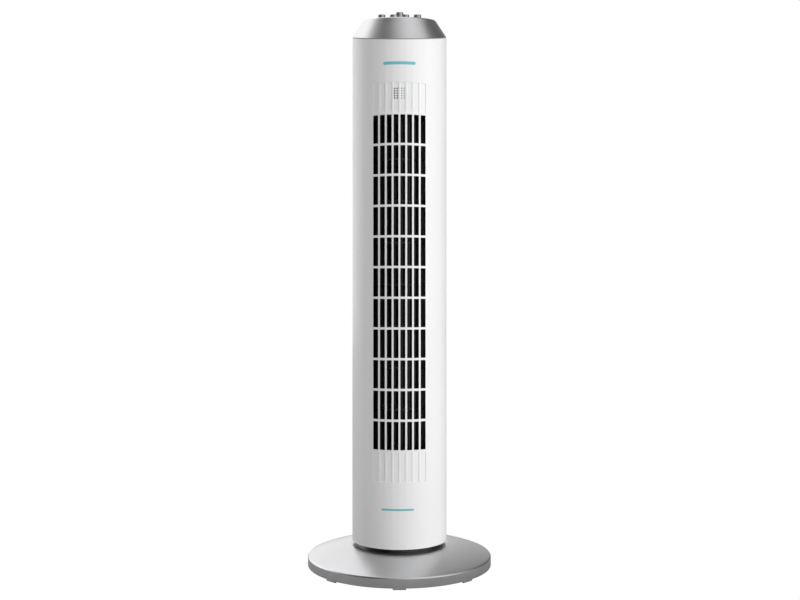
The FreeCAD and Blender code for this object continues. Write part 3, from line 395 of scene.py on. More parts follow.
def turned_piece(name, section, finish, around=160, place=Matrix.Identity(4), crease=35.0):
    """Sweeps a closed half section, from the axis to the axis or as a ring, round Z."""
    points = []
    faces = []
    count = len(section)
    for step in range(around):
        angle = 2 * math.pi * step / around
        for spot in section:
            across, back = spot.x * math.cos(angle), spot.x * math.sin(angle)
            points.append(place @ Vector((across, back, spot.y)))
    ring = section[0].x > 1e-9
    for step in range(around):
        here = step * count
        there = (step + 1) % around * count
        for row in range(count if ring else count - 1):
            after = (row + 1) % count
            faces.append((here + row, there + row, there + after, here + after))
    faces = [face for face in faces if len({tuple(points[i]) for i in face}) > 2]
    return new_piece(name, points, faces, finish, crease)


# %% [markdown]
# ## Base
# The base is a shallow dome with an upright rim and a small rounded shoulder between them, moulded
# in one piece and sprayed silver. Its section is
# short to write down: the dome is one long flat arc, and the shoulder is a small steep one.

# %% The dome of the base
low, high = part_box("base_cover")
BASE_RADIUS = high.x
PLATEAU = high.z
RIM_FLOOR = 1.8 * MM
RIM_TOP = 13.3 * MM
BASE_WALL = 3.0 * MM
SHOULDER = Vector((BASE_RADIUS - 1.4 * MM, RIM_TOP + 1.9 * MM))
PLATEAU_EDGE = Vector((66.0 * MM, PLATEAU))
SHOULDER_ARC = 8.5 * MM
DOME_ARC = 260.0 * MM
POST_HOLE = 12.02 * MM


def arc_points(start, end, radius, steps):
    """Points of an arc that bulges upwards between two points of a section."""
    half = (end - start) / 2
    side = Vector((half.y, -half.x)).normalized()
    depth = math.sqrt(radius ** 2 - half.length ** 2)
    centre = start + half - side * depth
    first = math.atan2((start - centre).y, (start - centre).x)
    sweep = math.atan2((end - centre).y, (end - centre).x) - first
    turns = [first + sweep * i / steps for i in range(steps + 1)]
    return [centre + Vector((math.cos(turn), math.sin(turn))) * radius for turn in turns]


INNER_FLAT = BASE_RADIUS * 0.55
section = [Vector((POST_HOLE, PLATEAU - BASE_WALL)), Vector((INNER_FLAT, PLATEAU - BASE_WALL)),
           Vector((BASE_RADIUS - BASE_WALL, RIM_TOP)), Vector((BASE_RADIUS - BASE_WALL, RIM_FLOOR))]
section += rounded_section([(BASE_RADIUS - BASE_WALL, RIM_FLOOR),
                            (BASE_RADIUS, RIM_FLOOR, 0.4 * MM), (BASE_RADIUS, RIM_TOP)])[1:]
section += arc_points(Vector((BASE_RADIUS, RIM_TOP)), SHOULDER, SHOULDER_ARC, 8)[1:]
section += arc_points(SHOULDER, PLATEAU_EDGE, DOME_ARC, 28)[1:]
section.append(Vector((POST_HOLE, PLATEAU)))
base_dome = turned_piece("base_dome", section, satin_silver, around=240, crease=50.0)
print("dome:", round(BASE_RADIUS * 2, 3), "m across")

# %% [markdown]
# Two things are cut from the dome or hang under it: the round hole for the cord's grommet at the
# back, cut with a Boolean, and eight short tongues under the rim that carry it. The tongues are
# alike, so they come from Geometry Nodes: one tongue is modelled, and the tree copies it in a ring.


# %% A node tree that copies a piece in a ring
def tree_socket(tree, name, kind, direction="INPUT"):
    return tree.interface.new_socket(name, in_out=direction, socket_type=kind)


def sum_of(tree, operation, first, second):
    """A maths node. Each input is a socket or a number."""
    node = tree.nodes.new("ShaderNodeMath")
    node.operation = operation
    for slot, value in ((0, first), (1, second)):
        if isinstance(value, (int, float)):
            node.inputs[slot].default_value = value
        else:
            tree.links.new(value, node.inputs[slot])
    return node.outputs[0]


def copies_tree(name, numbers, lay_out):
    """A tree that copies its own geometry to Count points. lay_out links place and turn."""
    tree = bpy.data.node_groups.new(name, "GeometryNodeTree")
    tree_socket(tree, "Piece", "NodeSocketGeometry")
    for label in numbers:
        tree_socket(tree, label, "NodeSocketFloat")
    tree_socket(tree, "Finish", "NodeSocketMaterial")
    tree_socket(tree, "Pieces", "NodeSocketGeometry", "OUTPUT")
    entry = tree.nodes.new("NodeGroupInput")
    end = tree.nodes.new("NodeGroupOutput")
    points = tree.nodes.new("GeometryNodePoints")
    copies = tree.nodes.new("GeometryNodeInstanceOnPoints")
    real = tree.nodes.new("GeometryNodeRealizeInstances")
    paint = tree.nodes.new("GeometryNodeSetMaterial")
    index = tree.nodes.new("GeometryNodeInputIndex").outputs["Index"]
    lay_out(tree, entry, index, points, copies)
    tree.links.new(points.outputs[0], copies.inputs["Points"])
    tree.links.new(entry.outputs["Piece"], copies.inputs["Instance"])
    tree.links.new(copies.outputs[0], real.inputs[0])
    tree.links.new(real.outputs[0], paint.inputs["Geometry"])
    tree.links.new(entry.outputs["Finish"], paint.inputs["Material"])
    tree.links.new(paint.outputs[0], end.inputs[0])
    return tree


def ring_layout(tree, entry, index, points, copies):
    tree.links.new(entry.outputs["Count"], points.inputs["Count"])
    step = sum_of(tree, "DIVIDE", 2 * math.pi, entry.outputs["Count"])
    angle = sum_of(tree, "MULTIPLY", index, step)
    turn = tree.nodes.new("ShaderNodeCombineXYZ")
    first = entry.outputs["First Angle"]
    tree.links.new(sum_of(tree, "ADD", angle, first), turn.inputs["Z"])
    tree.links.new(turn.outputs[0], copies.inputs["Rotation"])


def rows_layout(tree, entry, index, points, copies):
    columns = entry.outputs["Columns"]
    rows = entry.outputs["Rows"]
    tree.links.new(sum_of(tree, "MULTIPLY", columns, rows), points.inputs["Count"])
    place = tree.nodes.new("ShaderNodeCombineXYZ")
    across = sum_of(tree, "MODULO", index, columns)
    up = sum_of(tree, "FLOOR", sum_of(tree, "DIVIDE", index, columns), 0.0)
    step_across, step_up = entry.outputs["Step Across"], entry.outputs["Step Up"]
    tree.links.new(sum_of(tree, "MULTIPLY", across, step_across), place.inputs["X"])
    tree.links.new(sum_of(tree, "MULTIPLY", up, step_up), place.inputs["Z"])
    tree.links.new(place.outputs[0], points.inputs["Position"])


RING_TREE = copies_tree("copies_in_a_ring", ("Count", "First Angle"), ring_layout)
ROWS_TREE = copies_tree("copies_in_rows", ("Columns", "Rows", "Step Across", "Step Up"),
                        rows_layout)


def copy_with(tree, piece, finish, **sizes):
    """Runs a tree on a piece and makes the copies a plain mesh."""
    work = piece.modifiers.new("copies", "NODES")
    work.node_group = tree
    for item in tree.interface.items_tree:
        label = item.name.lower().replace(" ", "_")
        if label in sizes:
            work[item.identifier] = float(sizes[label])
        if item.name == "Finish":
            work[item.identifier] = finish
    apply_all(piece)
    piece.data.materials.clear()
    piece.data.materials.append(finish)
    return piece


print("trees:", RING_TREE.name, ROWS_TREE.name)

# %% [markdown]
# A hole is easy to make by taking a bar away from a finished piece, and a Boolean modifier does
# that. These helpers cut, join and prepare the bars. A block is a plain box, for cuts and lights,
# and a strip is a bar drawn from one section after another.


# %% Cut, join and block out
def cut_with(piece, tools, operation="DIFFERENCE"):
    """Joins, cuts or keeps with other pieces, which are used up."""
    for tool in tools:
        knife = piece.modifiers.new("cut", "BOOLEAN")
        knife.object = tool
        knife.operation = operation
        knife.solver = "EXACT"
    apply_all(piece)
    for tool in tools:
        bpy.data.objects.remove(tool)
    return piece


def joined(piece, *others):
    """Adds the meshes of other pieces to a piece."""
    mix = bmesh.new()
    for each in (piece, *others):
        mix.from_mesh(each.data)
    mix.to_mesh(piece.data)
    mix.free()
    for each in others:
        bpy.data.objects.remove(each)
    return piece


def plain_rod(name, radius, start, length, place=Matrix.Identity(4), steps=40):
    """A round bar for cutting or joining, along its own Z."""
    section = [Vector((0.0, start)), Vector((radius, start)), Vector((radius, start + length)),
               Vector((0.0, start + length))]
    return turned_piece(name, section, black_plastic, steps, place)


def along_y(x, y, z):
    """A place for a turned piece whose axis points to the back."""
    return Matrix.Translation((x, y, z)) @ Matrix.Rotation(math.radians(-90.0), 4, "X")


def block(name, size, finish, place=Matrix.Identity(4)):
    """A small box, for a cut or a light."""
    mesh = bpy.data.meshes.new(name)
    box = bmesh.new()
    bmesh.ops.create_cube(box, size=1.0)
    box.transform(place @ Matrix.Diagonal((*size, 1.0)))
    box.to_mesh(mesh)
    box.free()
    return as_object(name, mesh, finish)


def strip_piece(name, points, finish, crease=35.0):
    """A bar from a row of sections with four points each, closed at both ends."""
    count = len(points) // 4
    faces = []
    for here in range(0, (count - 1) * 4, 4):
        for row in range(4):
            after = (row + 1) % 4
            faces.append((here + row, here + 4 + row, here + 4 + after, here + after))
    faces += [(0, 1, 2, 3), tuple(count * 4 - 4 + i for i in (3, 2, 1, 0))]
    return new_piece(name, points, faces, finish, crease)


print("cutting tools ready")

# %% [markdown]
# The grommet's hole is cut after the edges are rounded, because a Boolean leaves small faces that a
# bevel would stumble over. The shading is evened out last.

# %% The grommet's hole
gland_low, gland_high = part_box("cord_gland")
GLAND_HEIGHT = (gland_low.z + gland_high.z) / 2
GLAND_RADIUS = (gland_high.x - gland_low.x) / 2
GLAND_GAP = 0.05 * MM
soften(base_dome, 0.5 * MM, 3, 40.0)
hole = plain_rod("hole", GLAND_RADIUS + GLAND_GAP, 0.0, 30 * MM,
                 along_y(0, gland_low.y - 8 * MM, GLAND_HEIGHT))
cut_with(base_dome, [hole])
even_shading(base_dome)
print("grommet hole at", round(GLAND_HEIGHT, 4), "m")

# %% [markdown]
# A tongue is a short piece of the rim's own curve, so it is swept over a small angle and not left
# as a straight box. One is made, softened and copied eight times.


# %% Eight tongues under the rim
def arc_block(name, inner, outer, floor, top, half_angle, finish, steps=8):
    """A short curved block about the X direction."""
    points = []
    for step in range(steps + 1):
        angle = half_angle * (2 * step / steps - 1)
        for radius, level in ((inner, floor), (outer, floor), (outer, top), (inner, top)):
            points.append((radius * math.cos(angle), radius * math.sin(angle), level))
    return strip_piece(name, points, finish)


TAB_COUNT = 8
TAB_WIDTH = 17.0 * MM
tongue = arc_block("tongue", BASE_RADIUS - BASE_WALL, BASE_RADIUS, 0.0, RIM_FLOOR + 0.3 * MM,
                   TAB_WIDTH / 2 / BASE_RADIUS, satin_silver)
soften(tongue, 0.25 * MM)
copy_with(RING_TREE, tongue, satin_silver, count=TAB_COUNT, first_angle=0.0)
joined(base_dome, tongue)
hand_over(base_dome, "base", "satin_silver", "base_cover")

# %% [markdown]
# ## Under the base
# A rubber foot is a short turned disc with a groove. A screw head is a low dome with a cross cut
# into it. Both are modelled once and copied by the ring tree, since identical parts should stay
# identical: a change to the one shows in all of them.


# %% The screws under the base
def screw_piece(name, head_radius, head_tall, shank_radius, reach, place):
    """A screw with its head upwards on Z = 0: a low dome with a cross in it."""
    section = rounded_section([(0.0, head_tall), (head_radius * 0.75, head_tall * 0.96),
                               (head_radius, head_tall * 0.45, 0.5 * MM), (head_radius, 0.0),
                               (shank_radius, 0.0), (shank_radius, -reach), (0.0, -reach)], 4)
    head = turned_piece(name, section, steel, 24, crease=40.0)
    bar = (head_radius * 1.15, 0.55 * MM, head_tall * 1.2)
    top = Matrix.Translation((0, 0, head_tall))
    cross = [block("bar", bar, steel, top @ Matrix.Rotation(math.radians(turn), 4, "Z"))
             for turn in (0.0, 90.0)]
    cut_with(head, cross)
    head.data.transform(place)
    return head


SCREW_RADIUS = 1.6 * MM
HEAD_RADIUS = 3.2 * MM
BASE_SCREWS = 6
upside_down = Matrix.Rotation(math.radians(180.0), 4, "X")
low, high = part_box("base_screws")
SCREW_CIRCLE = high.y - HEAD_RADIUS
LOW_HEAD = RIM_FLOOR - low.z
base_screw = screw_piece("base_screw_heads", HEAD_RADIUS, LOW_HEAD, SCREW_RADIUS,
                         high.z - RIM_FLOOR,
                         Matrix.Translation((SCREW_CIRCLE, 0, RIM_FLOOR)) @ upside_down)
copy_with(RING_TREE, base_screw, steel, count=BASE_SCREWS, first_angle=math.pi / BASE_SCREWS)
hand_over(base_screw, "base", "steel", "base_screws")

# %% [markdown]
# The fan stands on four soft rubber discs. One disc is turned from a short section with a round
# edge, and the ring tree copies it, so all four change together.

# %% The rubber feet
low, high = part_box("rubber_pads")
PAD_RADIUS = 8.0 * MM
PADS = 4
PAD_PLACE = (high.x - PAD_RADIUS) * math.sqrt(2.0)
foot_section = rounded_section([(0.0, high.z), (PAD_RADIUS, high.z), (PAD_RADIUS, 0.0, 0.5 * MM),
                                (5.6 * MM, 0.0, 0.2 * MM), (5.2 * MM, 0.6 * MM, 0.2 * MM),
                                (4.2 * MM, 0.6 * MM, 0.2 * MM), (3.8 * MM, 0.0, 0.2 * MM),
                                (0.0, 0.0)], 3)
rubber_foot = turned_piece("rubber_feet", foot_section, rubber, 48,
                           Matrix.Translation((PAD_PLACE, 0, 0)))
copy_with(RING_TREE, rubber_foot, rubber, count=PADS, first_angle=math.pi / PADS)
hand_over(rubber_foot, "base", "rubber", "rubber_pads")

# %% [markdown]
# The grommet is the soft sleeve that a cord would pass through. Its four grooves are drawn in the
# section before it is turned, so they are real rings that catch the light.

# %% The cord's grommet
GLAND_BORE = 3.0 * MM
GROOVES = 4
GROOVE_DEEP = 0.35 * MM
gland_long = gland_high.y - gland_low.y
collar = [(GLAND_BORE, 0.0, 0.2 * MM), (GLAND_RADIUS, 0.0, 0.2 * MM)]
for groove in range(GROOVES):
    start = gland_long * (0.2 + 0.16 * groove)
    collar += [(GLAND_RADIUS, start), (GLAND_RADIUS - GROOVE_DEEP, start + 0.3 * MM),
               (GLAND_RADIUS - GROOVE_DEEP, start + 1.0 * MM), (GLAND_RADIUS, start + 1.3 * MM)]
collar += [(GLAND_RADIUS, gland_long, 0.3 * MM), (GLAND_BORE, gland_long, 0.3 * MM),
           (GLAND_BORE, 0.0)]
grommet = turned_piece("cord_grommet", rounded_section(collar)[1:], rubber, 48,
                       along_y(0, gland_low.y, GLAND_HEIGHT))
hand_over(grommet, "base", "rubber", "cord_gland")

# %% [markdown]
# ## Turntable
# The tower stands on a polished black collar. Only its rim shows, as a thin dark line with a
# bright edge, so that edge is rounded: a sharp one would catch no light at all.

# %% The black collar
low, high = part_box("swivel_ring")
collar_section = rounded_section([(POST_HOLE, low.z), (high.x, low.z, 0.4 * MM),
                                  (high.x, high.z, 0.8 * MM), (POST_HOLE, high.z)])
black_collar = turned_piece("black_collar", collar_section, gloss_black, 200)
hand_over(black_collar, "base", "gloss_black", "swivel_ring")

# %% [markdown]
# ## Tower shells
# The tower is a tube split into a front and a rear half. Each half has a grid of upright slots,
# cut straight through, so their side walls are parallel and not radial. Above and below them the
# same grid goes on as shallow closed cells.
# Cutting 88 slots with Booleans gives untidy faces. Instead the shell is laid out as a table of
# cells: each cell has an outer radius, or none where it is open, and walls appear between cells
# that differ. All faces come out as neat quads, which take a clean bevel.

# %% The layout of the grille
low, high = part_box("front_shell")
TOWER_RADIUS = high.x
TOWER_FLOOR = low.z
SHELL_WALL = 2.6 * MM
INNER = TOWER_RADIUS - SHELL_WALL
SPLIT = 0.15 * MM
SEAM_TILT = math.tan(math.radians(16.0))
SEAM_HEIGHT = 727.6 * MM
SLOT_COLUMNS = 8
SLOT_PITCH = 9.0 * MM
SLOT_WIDTH = 6.5 * MM
ROWS = 11
ROW_PITCH = 40.6 * MM
BAR = 3.0 * MM
GRILLE_FLOOR = 166.6 * MM
BLIND_TALL = 39.2 * MM
BLIND_DEPTH = 0.5 * MM

slot_edges = []
for column in range(SLOT_COLUMNS):
    middle = SLOT_PITCH * (column - (SLOT_COLUMNS - 1) / 2)
    slot_edges += [middle - SLOT_WIDTH / 2, middle + SLOT_WIDTH / 2]
GRILLE_TOP = GRILLE_FLOOR + ROW_PITCH * ROWS - BAR
open_rows = [(GRILLE_FLOOR + ROW_PITCH * row, GRILLE_FLOOR + ROW_PITCH * (row + 1) - BAR)
             for row in range(ROWS)]
blind_rows = [(GRILLE_FLOOR - BAR - BLIND_TALL, GRILLE_FLOOR - BAR),
              (GRILLE_TOP + BAR, GRILLE_TOP + BAR + BLIND_TALL)]
print("slots:", SLOT_COLUMNS * ROWS, "from", round(GRILLE_FLOOR, 4), "to", round(GRILLE_TOP, 4))

# %% [markdown]
# The table's columns are upright lines round the shell and its rows are heights. Across the slots
# the columns are spaced by their distance sideways, and on the plain flanks by their angle. That
# keeps the slot walls parallel and the round flanks even.

# %% A half shell from a table of cells
FLANK_STEPS = 20
TINY = 1e-9
slots = list(zip(slot_edges[::2], slot_edges[1::2]))


def half_shell(name, side, closed_rows):
    """One half of the tower. side is -1 for the front. Closed rows are shallow cells."""
    edge_angle = math.asin(slot_edges[-1] / TOWER_RADIUS)
    flank = [edge_angle + (math.pi / 2 - edge_angle) * (i + 1) / FLANK_STEPS
             for i in range(FLANK_STEPS - 1)]
    columns = [("end", -1)] + [("angle", -a) for a in reversed(flank)]
    for edge, after in zip(slot_edges, slot_edges[1:] + [None]):
        columns.append(("across", edge))
        if after is not None:
            columns.append(("across", (edge + after) / 2))
    columns += [("angle", a) for a in flank] + [("end", 1)]
    levels = {TOWER_FLOOR, SEAM_HEIGHT}
    for start, end in open_rows + closed_rows:
        levels |= {start, end}
    levels = sorted(levels)
    points = []
    lookup = {}

    def spot(column, level, radius):
        key = (column, level, radius)
        if key not in lookup:
            kind, value = columns[column]
            if kind == "end":
                x, y = value * math.sqrt(radius ** 2 - SPLIT ** 2), side * SPLIT
            elif kind == "angle":
                x, y = radius * math.sin(value), side * radius * math.cos(value)
            else:
                x, y = value, side * math.sqrt(radius ** 2 - value ** 2)
            z = levels[level]
            if level == len(levels) - 1:
                z += y * SEAM_TILT
            lookup[key] = len(points)
            points.append((x, y, z))
        return lookup[key]

    def radius_of(column, row):
        if not (0 <= column < len(columns) - 1 and 0 <= row < len(levels) - 1):
            return INNER
        left, right = columns[column], columns[column + 1]
        in_slot = left[0] == right[0] == "across" and any(
            start - TINY <= left[1] and right[1] <= end + TINY for start, end in slots)
        if in_slot and (levels[row], levels[row + 1]) in open_rows:
            return INNER
        if in_slot and (levels[row], levels[row + 1]) in closed_rows:
            return TOWER_RADIUS - BLIND_DEPTH
        return TOWER_RADIUS

    faces = []
    for column in range(len(columns)):
        for row in range(len(levels)):
            here = radius_of(column, row)
            corners = ((column, row), (column + 1, row), (column + 1, row + 1), (column, row + 1))
            if here != INNER:
                faces.append(tuple(spot(c, r, here) for c, r in corners))
                faces.append(tuple(spot(c, r, INNER) for c, r in reversed(corners)))
            for before, start, end in ((radius_of(column - 1, row), corners[0], corners[3]),
                                       (radius_of(column, row - 1), corners[0], corners[1])):
                if before != here:
                    faces.append((spot(*start, before), spot(*end, before), spot(*end, here),
                                  spot(*start, here)))
    return new_piece(name, points, faces, white_shell, 30.0)

# %% [markdown]
# Front and rear come from the same helper, on opposite sides of the split. Only the front has
# closed cells. The bevel is fine, because thin bars with wide round edges would look soft.

# %% The two shells with fine rounded edges
EDGE = 0.12 * MM
front = soften(half_shell("tower_front", -1, blind_rows), EDGE, 2)
rear = soften(half_shell("tower_rear", 1, []), EDGE, 2)
print("front:", len(front.data.polygons), "faces, rear:", len(rear.data.polygons))

# %% [markdown]
# The halves are held by eight screws from the back. Each sits in a deep round recess in a boss
# that reaches to the split, so these few round holes are cut with Booleans after the table is done.

# %% Bosses and screw recesses
BOSS_PLACE = 50.0 * MM
BOSS_FLOOR = 60.0 * MM
BOSS_PITCH = 205.0 * MM
BOSS_ROWS = 4
RECESS_FLOOR = 8.0 * MM
boss_spots = [(BOSS_PLACE * side, BOSS_FLOOR + BOSS_PITCH * row) for row in range(BOSS_ROWS)
              for side in (-1, 1)]


def boss_bars(name, radius, start, end, side):
    """Round bars at every screw's place, from start to end on one side of the split."""
    bars = [plain_rod(name, radius, start if side > 0 else -end, end - start, along_y(x, 0, z))
            for x, z in boss_spots]
    return joined(bars[0], *bars[1:])


FRONT_BOSS, REAR_BOSS = 4.0 * MM, 6.0 * MM
THREAD_HOLE, HEAD_RECESS = 1.62 * MM, 3.5 * MM
for shell, side, radius, hole_radius, hole_start, hole_end in (
        (front, -1, FRONT_BOSS, THREAD_HOLE, -MM, RECESS_FLOOR),
        (rear, 1, REAR_BOSS, HEAD_RECESS, RECESS_FLOOR, TOWER_RADIUS * 1.2)):
    bosses = boss_bars("bosses", radius, SPLIT, TOWER_RADIUS, side)
    core = plain_rod("core", TOWER_RADIUS - SHELL_WALL / 2, 0.0, SEAM_HEIGHT + 40 * MM, steps=160)
    cut_with(bosses, [core], "INTERSECT")
    cut_with(shell, [bosses], "UNION")
    cut_with(shell, [boss_bars("recess", hole_radius, hole_start, hole_end, side)])
even_shading(rear)
hand_over(rear, "tower", "white_shell", "rear_shell")

# %% [markdown]
# Small square lights shine through the closed cells above the grille: two pairs of columns with
# five rows. Their windows are cut with the same grid of little boxes that makes the lights, so
# lights and windows always line up.

# %% Windows for the lights
LIGHT_LOW, LIGHT_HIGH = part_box("indicator_lights")
LIGHT_SIDE = 1.8 * MM
LIGHT_STEP = 3.4 * MM
LIGHT_RISE = 3.2 * MM
LIGHT_ROWS = 5
LIGHT_STARTS = (LIGHT_LOW.x, LIGHT_HIGH.x - LIGHT_STEP - LIGHT_SIDE)


def light_pair(name, start, finish, rounding=0.0, proud=0.0):
    """Two columns of five little boxes."""
    middle = (LIGHT_LOW.y + LIGHT_HIGH.y) / 2
    centre = (start + LIGHT_SIDE / 2, middle, LIGHT_LOW.z + LIGHT_SIDE / 2)
    deep = LIGHT_HIGH.y - LIGHT_LOW.y + proud
    light = block(name, (LIGHT_SIDE, deep, LIGHT_SIDE), finish, Matrix.Translation(centre))
    if rounding:
        soften(light, rounding)
    return copy_with(ROWS_TREE, light, finish, columns=2, rows=LIGHT_ROWS, step_across=LIGHT_STEP,
                     step_up=LIGHT_RISE)


windows = [light_pair("windows", start, white_shell, proud=4 * MM) for start in LIGHT_STARTS]
cut_with(front, windows)
even_shading(front)
hand_over(front, "tower", "white_shell", "front_shell")

# %% [markdown]
# The shells are held by eight screws from behind, whose heads sit deep in the round recesses.
# They stand in two columns, so here the tree for rows and columns copies the one screw.

# %% The eight screws of the shells
shell_screw = screw_piece("shell_screw_heads", HEAD_RADIUS, 1.8 * MM, SCREW_RADIUS, 16 * MM,
                          along_y(-BOSS_PLACE, RECESS_FLOOR, BOSS_FLOOR))
copy_with(ROWS_TREE, shell_screw, steel, columns=2, rows=BOSS_ROWS, step_across=BOSS_PLACE * 2,
          step_up=BOSS_PITCH)
hand_over(shell_screw, "tower", "steel", "shell_screws")

# %% [markdown]
# ## Lip between tower and cap
# The top of the tower is cut on a slant that falls to the front, and a thin grey lip follows the
# cut. A turned ring, sheared upwards towards the back, lies exactly on the slanted plane.


# %% The slanted lip
def slanted(height, slope):
    """Raises each point by its distance to the back, which tilts a level ring."""
    return Matrix(((1, 0, 0, 0), (0, 1, 0, 0), (0, slope, 1, height), (0, 0, 0, 1)))


LIP_TALL = 1.2 * MM
LIP_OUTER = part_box("seam_ring")[1].x
LIP_INNER = 58.0 * MM
lip_section = rounded_section([(LIP_INNER, 0.0), (LIP_OUTER, 0.0, 0.15 * MM),
                               (LIP_OUTER, LIP_TALL, 0.15 * MM), (LIP_INNER, LIP_TALL)], 3)
lip = turned_piece("slanted_lip", lip_section, grey_plastic, 200, slanted(SEAM_HEIGHT, SEAM_TILT))
hand_over(lip, "tower", "grey_plastic", "seam_ring")

# %% [markdown]
# ## Cap
# The cap is a cone that leans: its foot lies on the slanted lip and its smaller top tilts less.
# It is built as rings between two tilted circles. The turn into the top is rounded in the rings,
# and one extra ring just inside it keeps the reflections on the flat top undisturbed.

# %% The silver cap
CAP_TILT = math.radians(9.0)
CAP_HEIGHT = 751.0 * MM
CAP_TOP_RADIUS = 50.0 * MM
CAP_WALL = 2.4 * MM
CAP_ROUND = 3.0 * MM
CAP_GUARD = 0.5 * MM
on_cap = Matrix.Translation((0, 0, CAP_HEIGHT)) @ Matrix.Rotation(CAP_TILT, 4, "X")


def cap_ring(inset, drop, angle):
    """The foot, the edge and the middle of one strip of the cap."""
    across, back = math.cos(angle), math.sin(angle)
    foot_radius = TOWER_RADIUS - inset
    foot = Vector((foot_radius * across, foot_radius * back,
                   SEAM_HEIGHT + LIP_TALL + foot_radius * back * SEAM_TILT))
    top_radius = CAP_TOP_RADIUS - inset
    edge = on_cap @ Vector((top_radius * across, top_radius * back, -drop))
    return foot, edge, on_cap @ Vector((0, 0, -drop))


def cap_strip(angle):
    """Points of the cap's skin from its foot over the rounded edge to the top, and back inside."""
    foot, edge, middle = cap_ring(0.0, 0.0, angle)
    inner_foot, inner_edge, _ = cap_ring(CAP_WALL, CAP_WALL, angle)
    down = (foot - edge).normalized()
    inwards = (middle - edge).normalized()
    turn = math.pi - down.angle(inwards)
    reach = CAP_ROUND * math.tan(turn / 2)
    strip = [foot]
    for step in range(9):
        t = step / 8
        strip.append((edge + down * reach) * (1 - t) ** 2 + edge * 2 * t * (1 - t)
                     + (edge + inwards * reach) * t ** 2)
    strip.append(edge + inwards * (reach + CAP_GUARD))
    return strip, [inner_edge, inner_foot]


print("cap: top", CAP_TOP_RADIUS, "m in radius")

# %% [markdown]
# The strips are placed side by side round the cap, and faces are drawn between neighbours. Two
# large faces close the flat top, outside and inside.

# %% The cap from its strips
points = []
faces = []
AROUND = 240
strips = [cap_strip(2 * math.pi * i / AROUND) for i in range(AROUND)]
skin = len(strips[0][0])
loop = skin + 2
for outside, inside in strips:
    points += outside + inside
for index in range(AROUND):
    here, there = index * loop, (index + 1) % AROUND * loop
    for row in range(skin - 1):
        faces.append((here + row, there + row, there + row + 1, here + row + 1))
    faces.append((here + skin, there + skin, there + skin + 1, here + skin + 1))
    faces.append((here + skin + 1, there + skin + 1, there, here))
faces.append(tuple(index * loop + skin - 1 for index in range(AROUND)))
faces.append(tuple(index * loop + skin for index in reversed(range(AROUND))))
cap = new_piece("silver_cap", points, faces, satin_silver, 30.0)

# %% [markdown]
# The buttons pass through five round holes in the sloping top. Each hole is cut along the cap's
# own slanted axis, so its rim stays round when seen along that axis.

# %% Holes for the five buttons
HOLE_RADIUS = 5.7 * MM
button_spots = {"button_off": (-24.75, 4.0), "button_low": (-8.25, 4.0),
                "button_medium": (8.25, 4.0), "button_high": (24.75, 4.0),
                "button_swing": (0.0, -21.0)}
drills = [plain_rod("drill", HOLE_RADIUS, -CAP_WALL * 2, CAP_WALL * 4,
                    on_cap @ Matrix.Translation((x * MM, y * MM, 0)), 64)
          for x, y in button_spots.values()]
cut_with(cap, drills)
soften(cap, 0.35 * MM, 3, 50.0)
even_shading(cap)
hand_over(cap, "tower", "satin_silver", "top_cap")

# %% [markdown]
# ## Buttons
# Five equal push buttons stand square on the tilted top, four in a row for the speeds and one in
# front for the swing. Each is turned once from its section: a head with a soft upper edge, the
# flange that stops it from coming out, and the stem. Each rides on its own body, so it can be
# pressed.

# %% The push buttons
BUTTON_RADIUS = 5.4 * MM
BUTTON_TALL = 9.2 * MM
BUTTON_ROUND = 1.2 * MM
FLANGE_RADIUS = BUTTON_RADIUS + 1.6 * MM
STEM_RADIUS = 2.5 * MM
FLANGE_TOP = -2.7 * MM
FLANGE_FLOOR = -4.7 * MM
STEM_FLOOR = -16.5 * MM
button_section = rounded_section([
    (0.0, BUTTON_TALL - 0.3 * MM), (BUTTON_RADIUS - 3.0 * MM, BUTTON_TALL - 0.2 * MM, 0.6 * MM),
    (BUTTON_RADIUS - 2.0 * MM, BUTTON_TALL, 0.5 * MM), (BUTTON_RADIUS, BUTTON_TALL, BUTTON_ROUND),
    (BUTTON_RADIUS, FLANGE_TOP), (FLANGE_RADIUS, FLANGE_TOP), (FLANGE_RADIUS, FLANGE_FLOOR),
    (STEM_RADIUS, FLANGE_FLOOR), (STEM_RADIUS, STEM_FLOOR), (0.0, STEM_FLOOR)], 6)
for body, (x, y) in button_spots.items():
    knob = turned_piece(f"{body}_knob", button_section, button_silver, 72,
                        on_cap @ Matrix.Translation((x * MM, y * MM, 0)))
    hand_over(knob, body, "button_silver", body)

# %% [markdown]
# ## Lights and marks on the front
# The lights fill their windows: the left pair is dark, the right pair is pale. The two teal marks
# are plain bars printed on the shell: thin curved patches that follow the round front.


# %% Indicator lights
dark_light = make_finish("dark_light", (0.012, 0.012, 0.013), 0.6, grain=2600.0, mottle=0.1)
pale_light = make_finish("pale_light", (0.36, 0.50, 0.52), 0.5, grain=2600.0, mottle=0.05)
for name, start, finish in (("lights_left", LIGHT_STARTS[0], dark_light),
                            ("lights_right", LIGHT_STARTS[1], pale_light)):
    lights = light_pair(name, start, finish, 0.05 * MM)
    hand_over(lights, "tower", slots_of["indicator_lights"], "indicator_lights")

# %% [markdown]
# A printed mark has almost no thickness, yet it needs one, so that it never flickers with the
# shell beneath. Each bar is drawn in upright sections from one round end to the other, and every
# section follows the round front.

# %% Two plain printed bars
STEPS = 24
INK_UNDER = TOWER_RADIUS - 0.05 * MM
INK_OVER = TOWER_RADIUS + 0.04 * MM


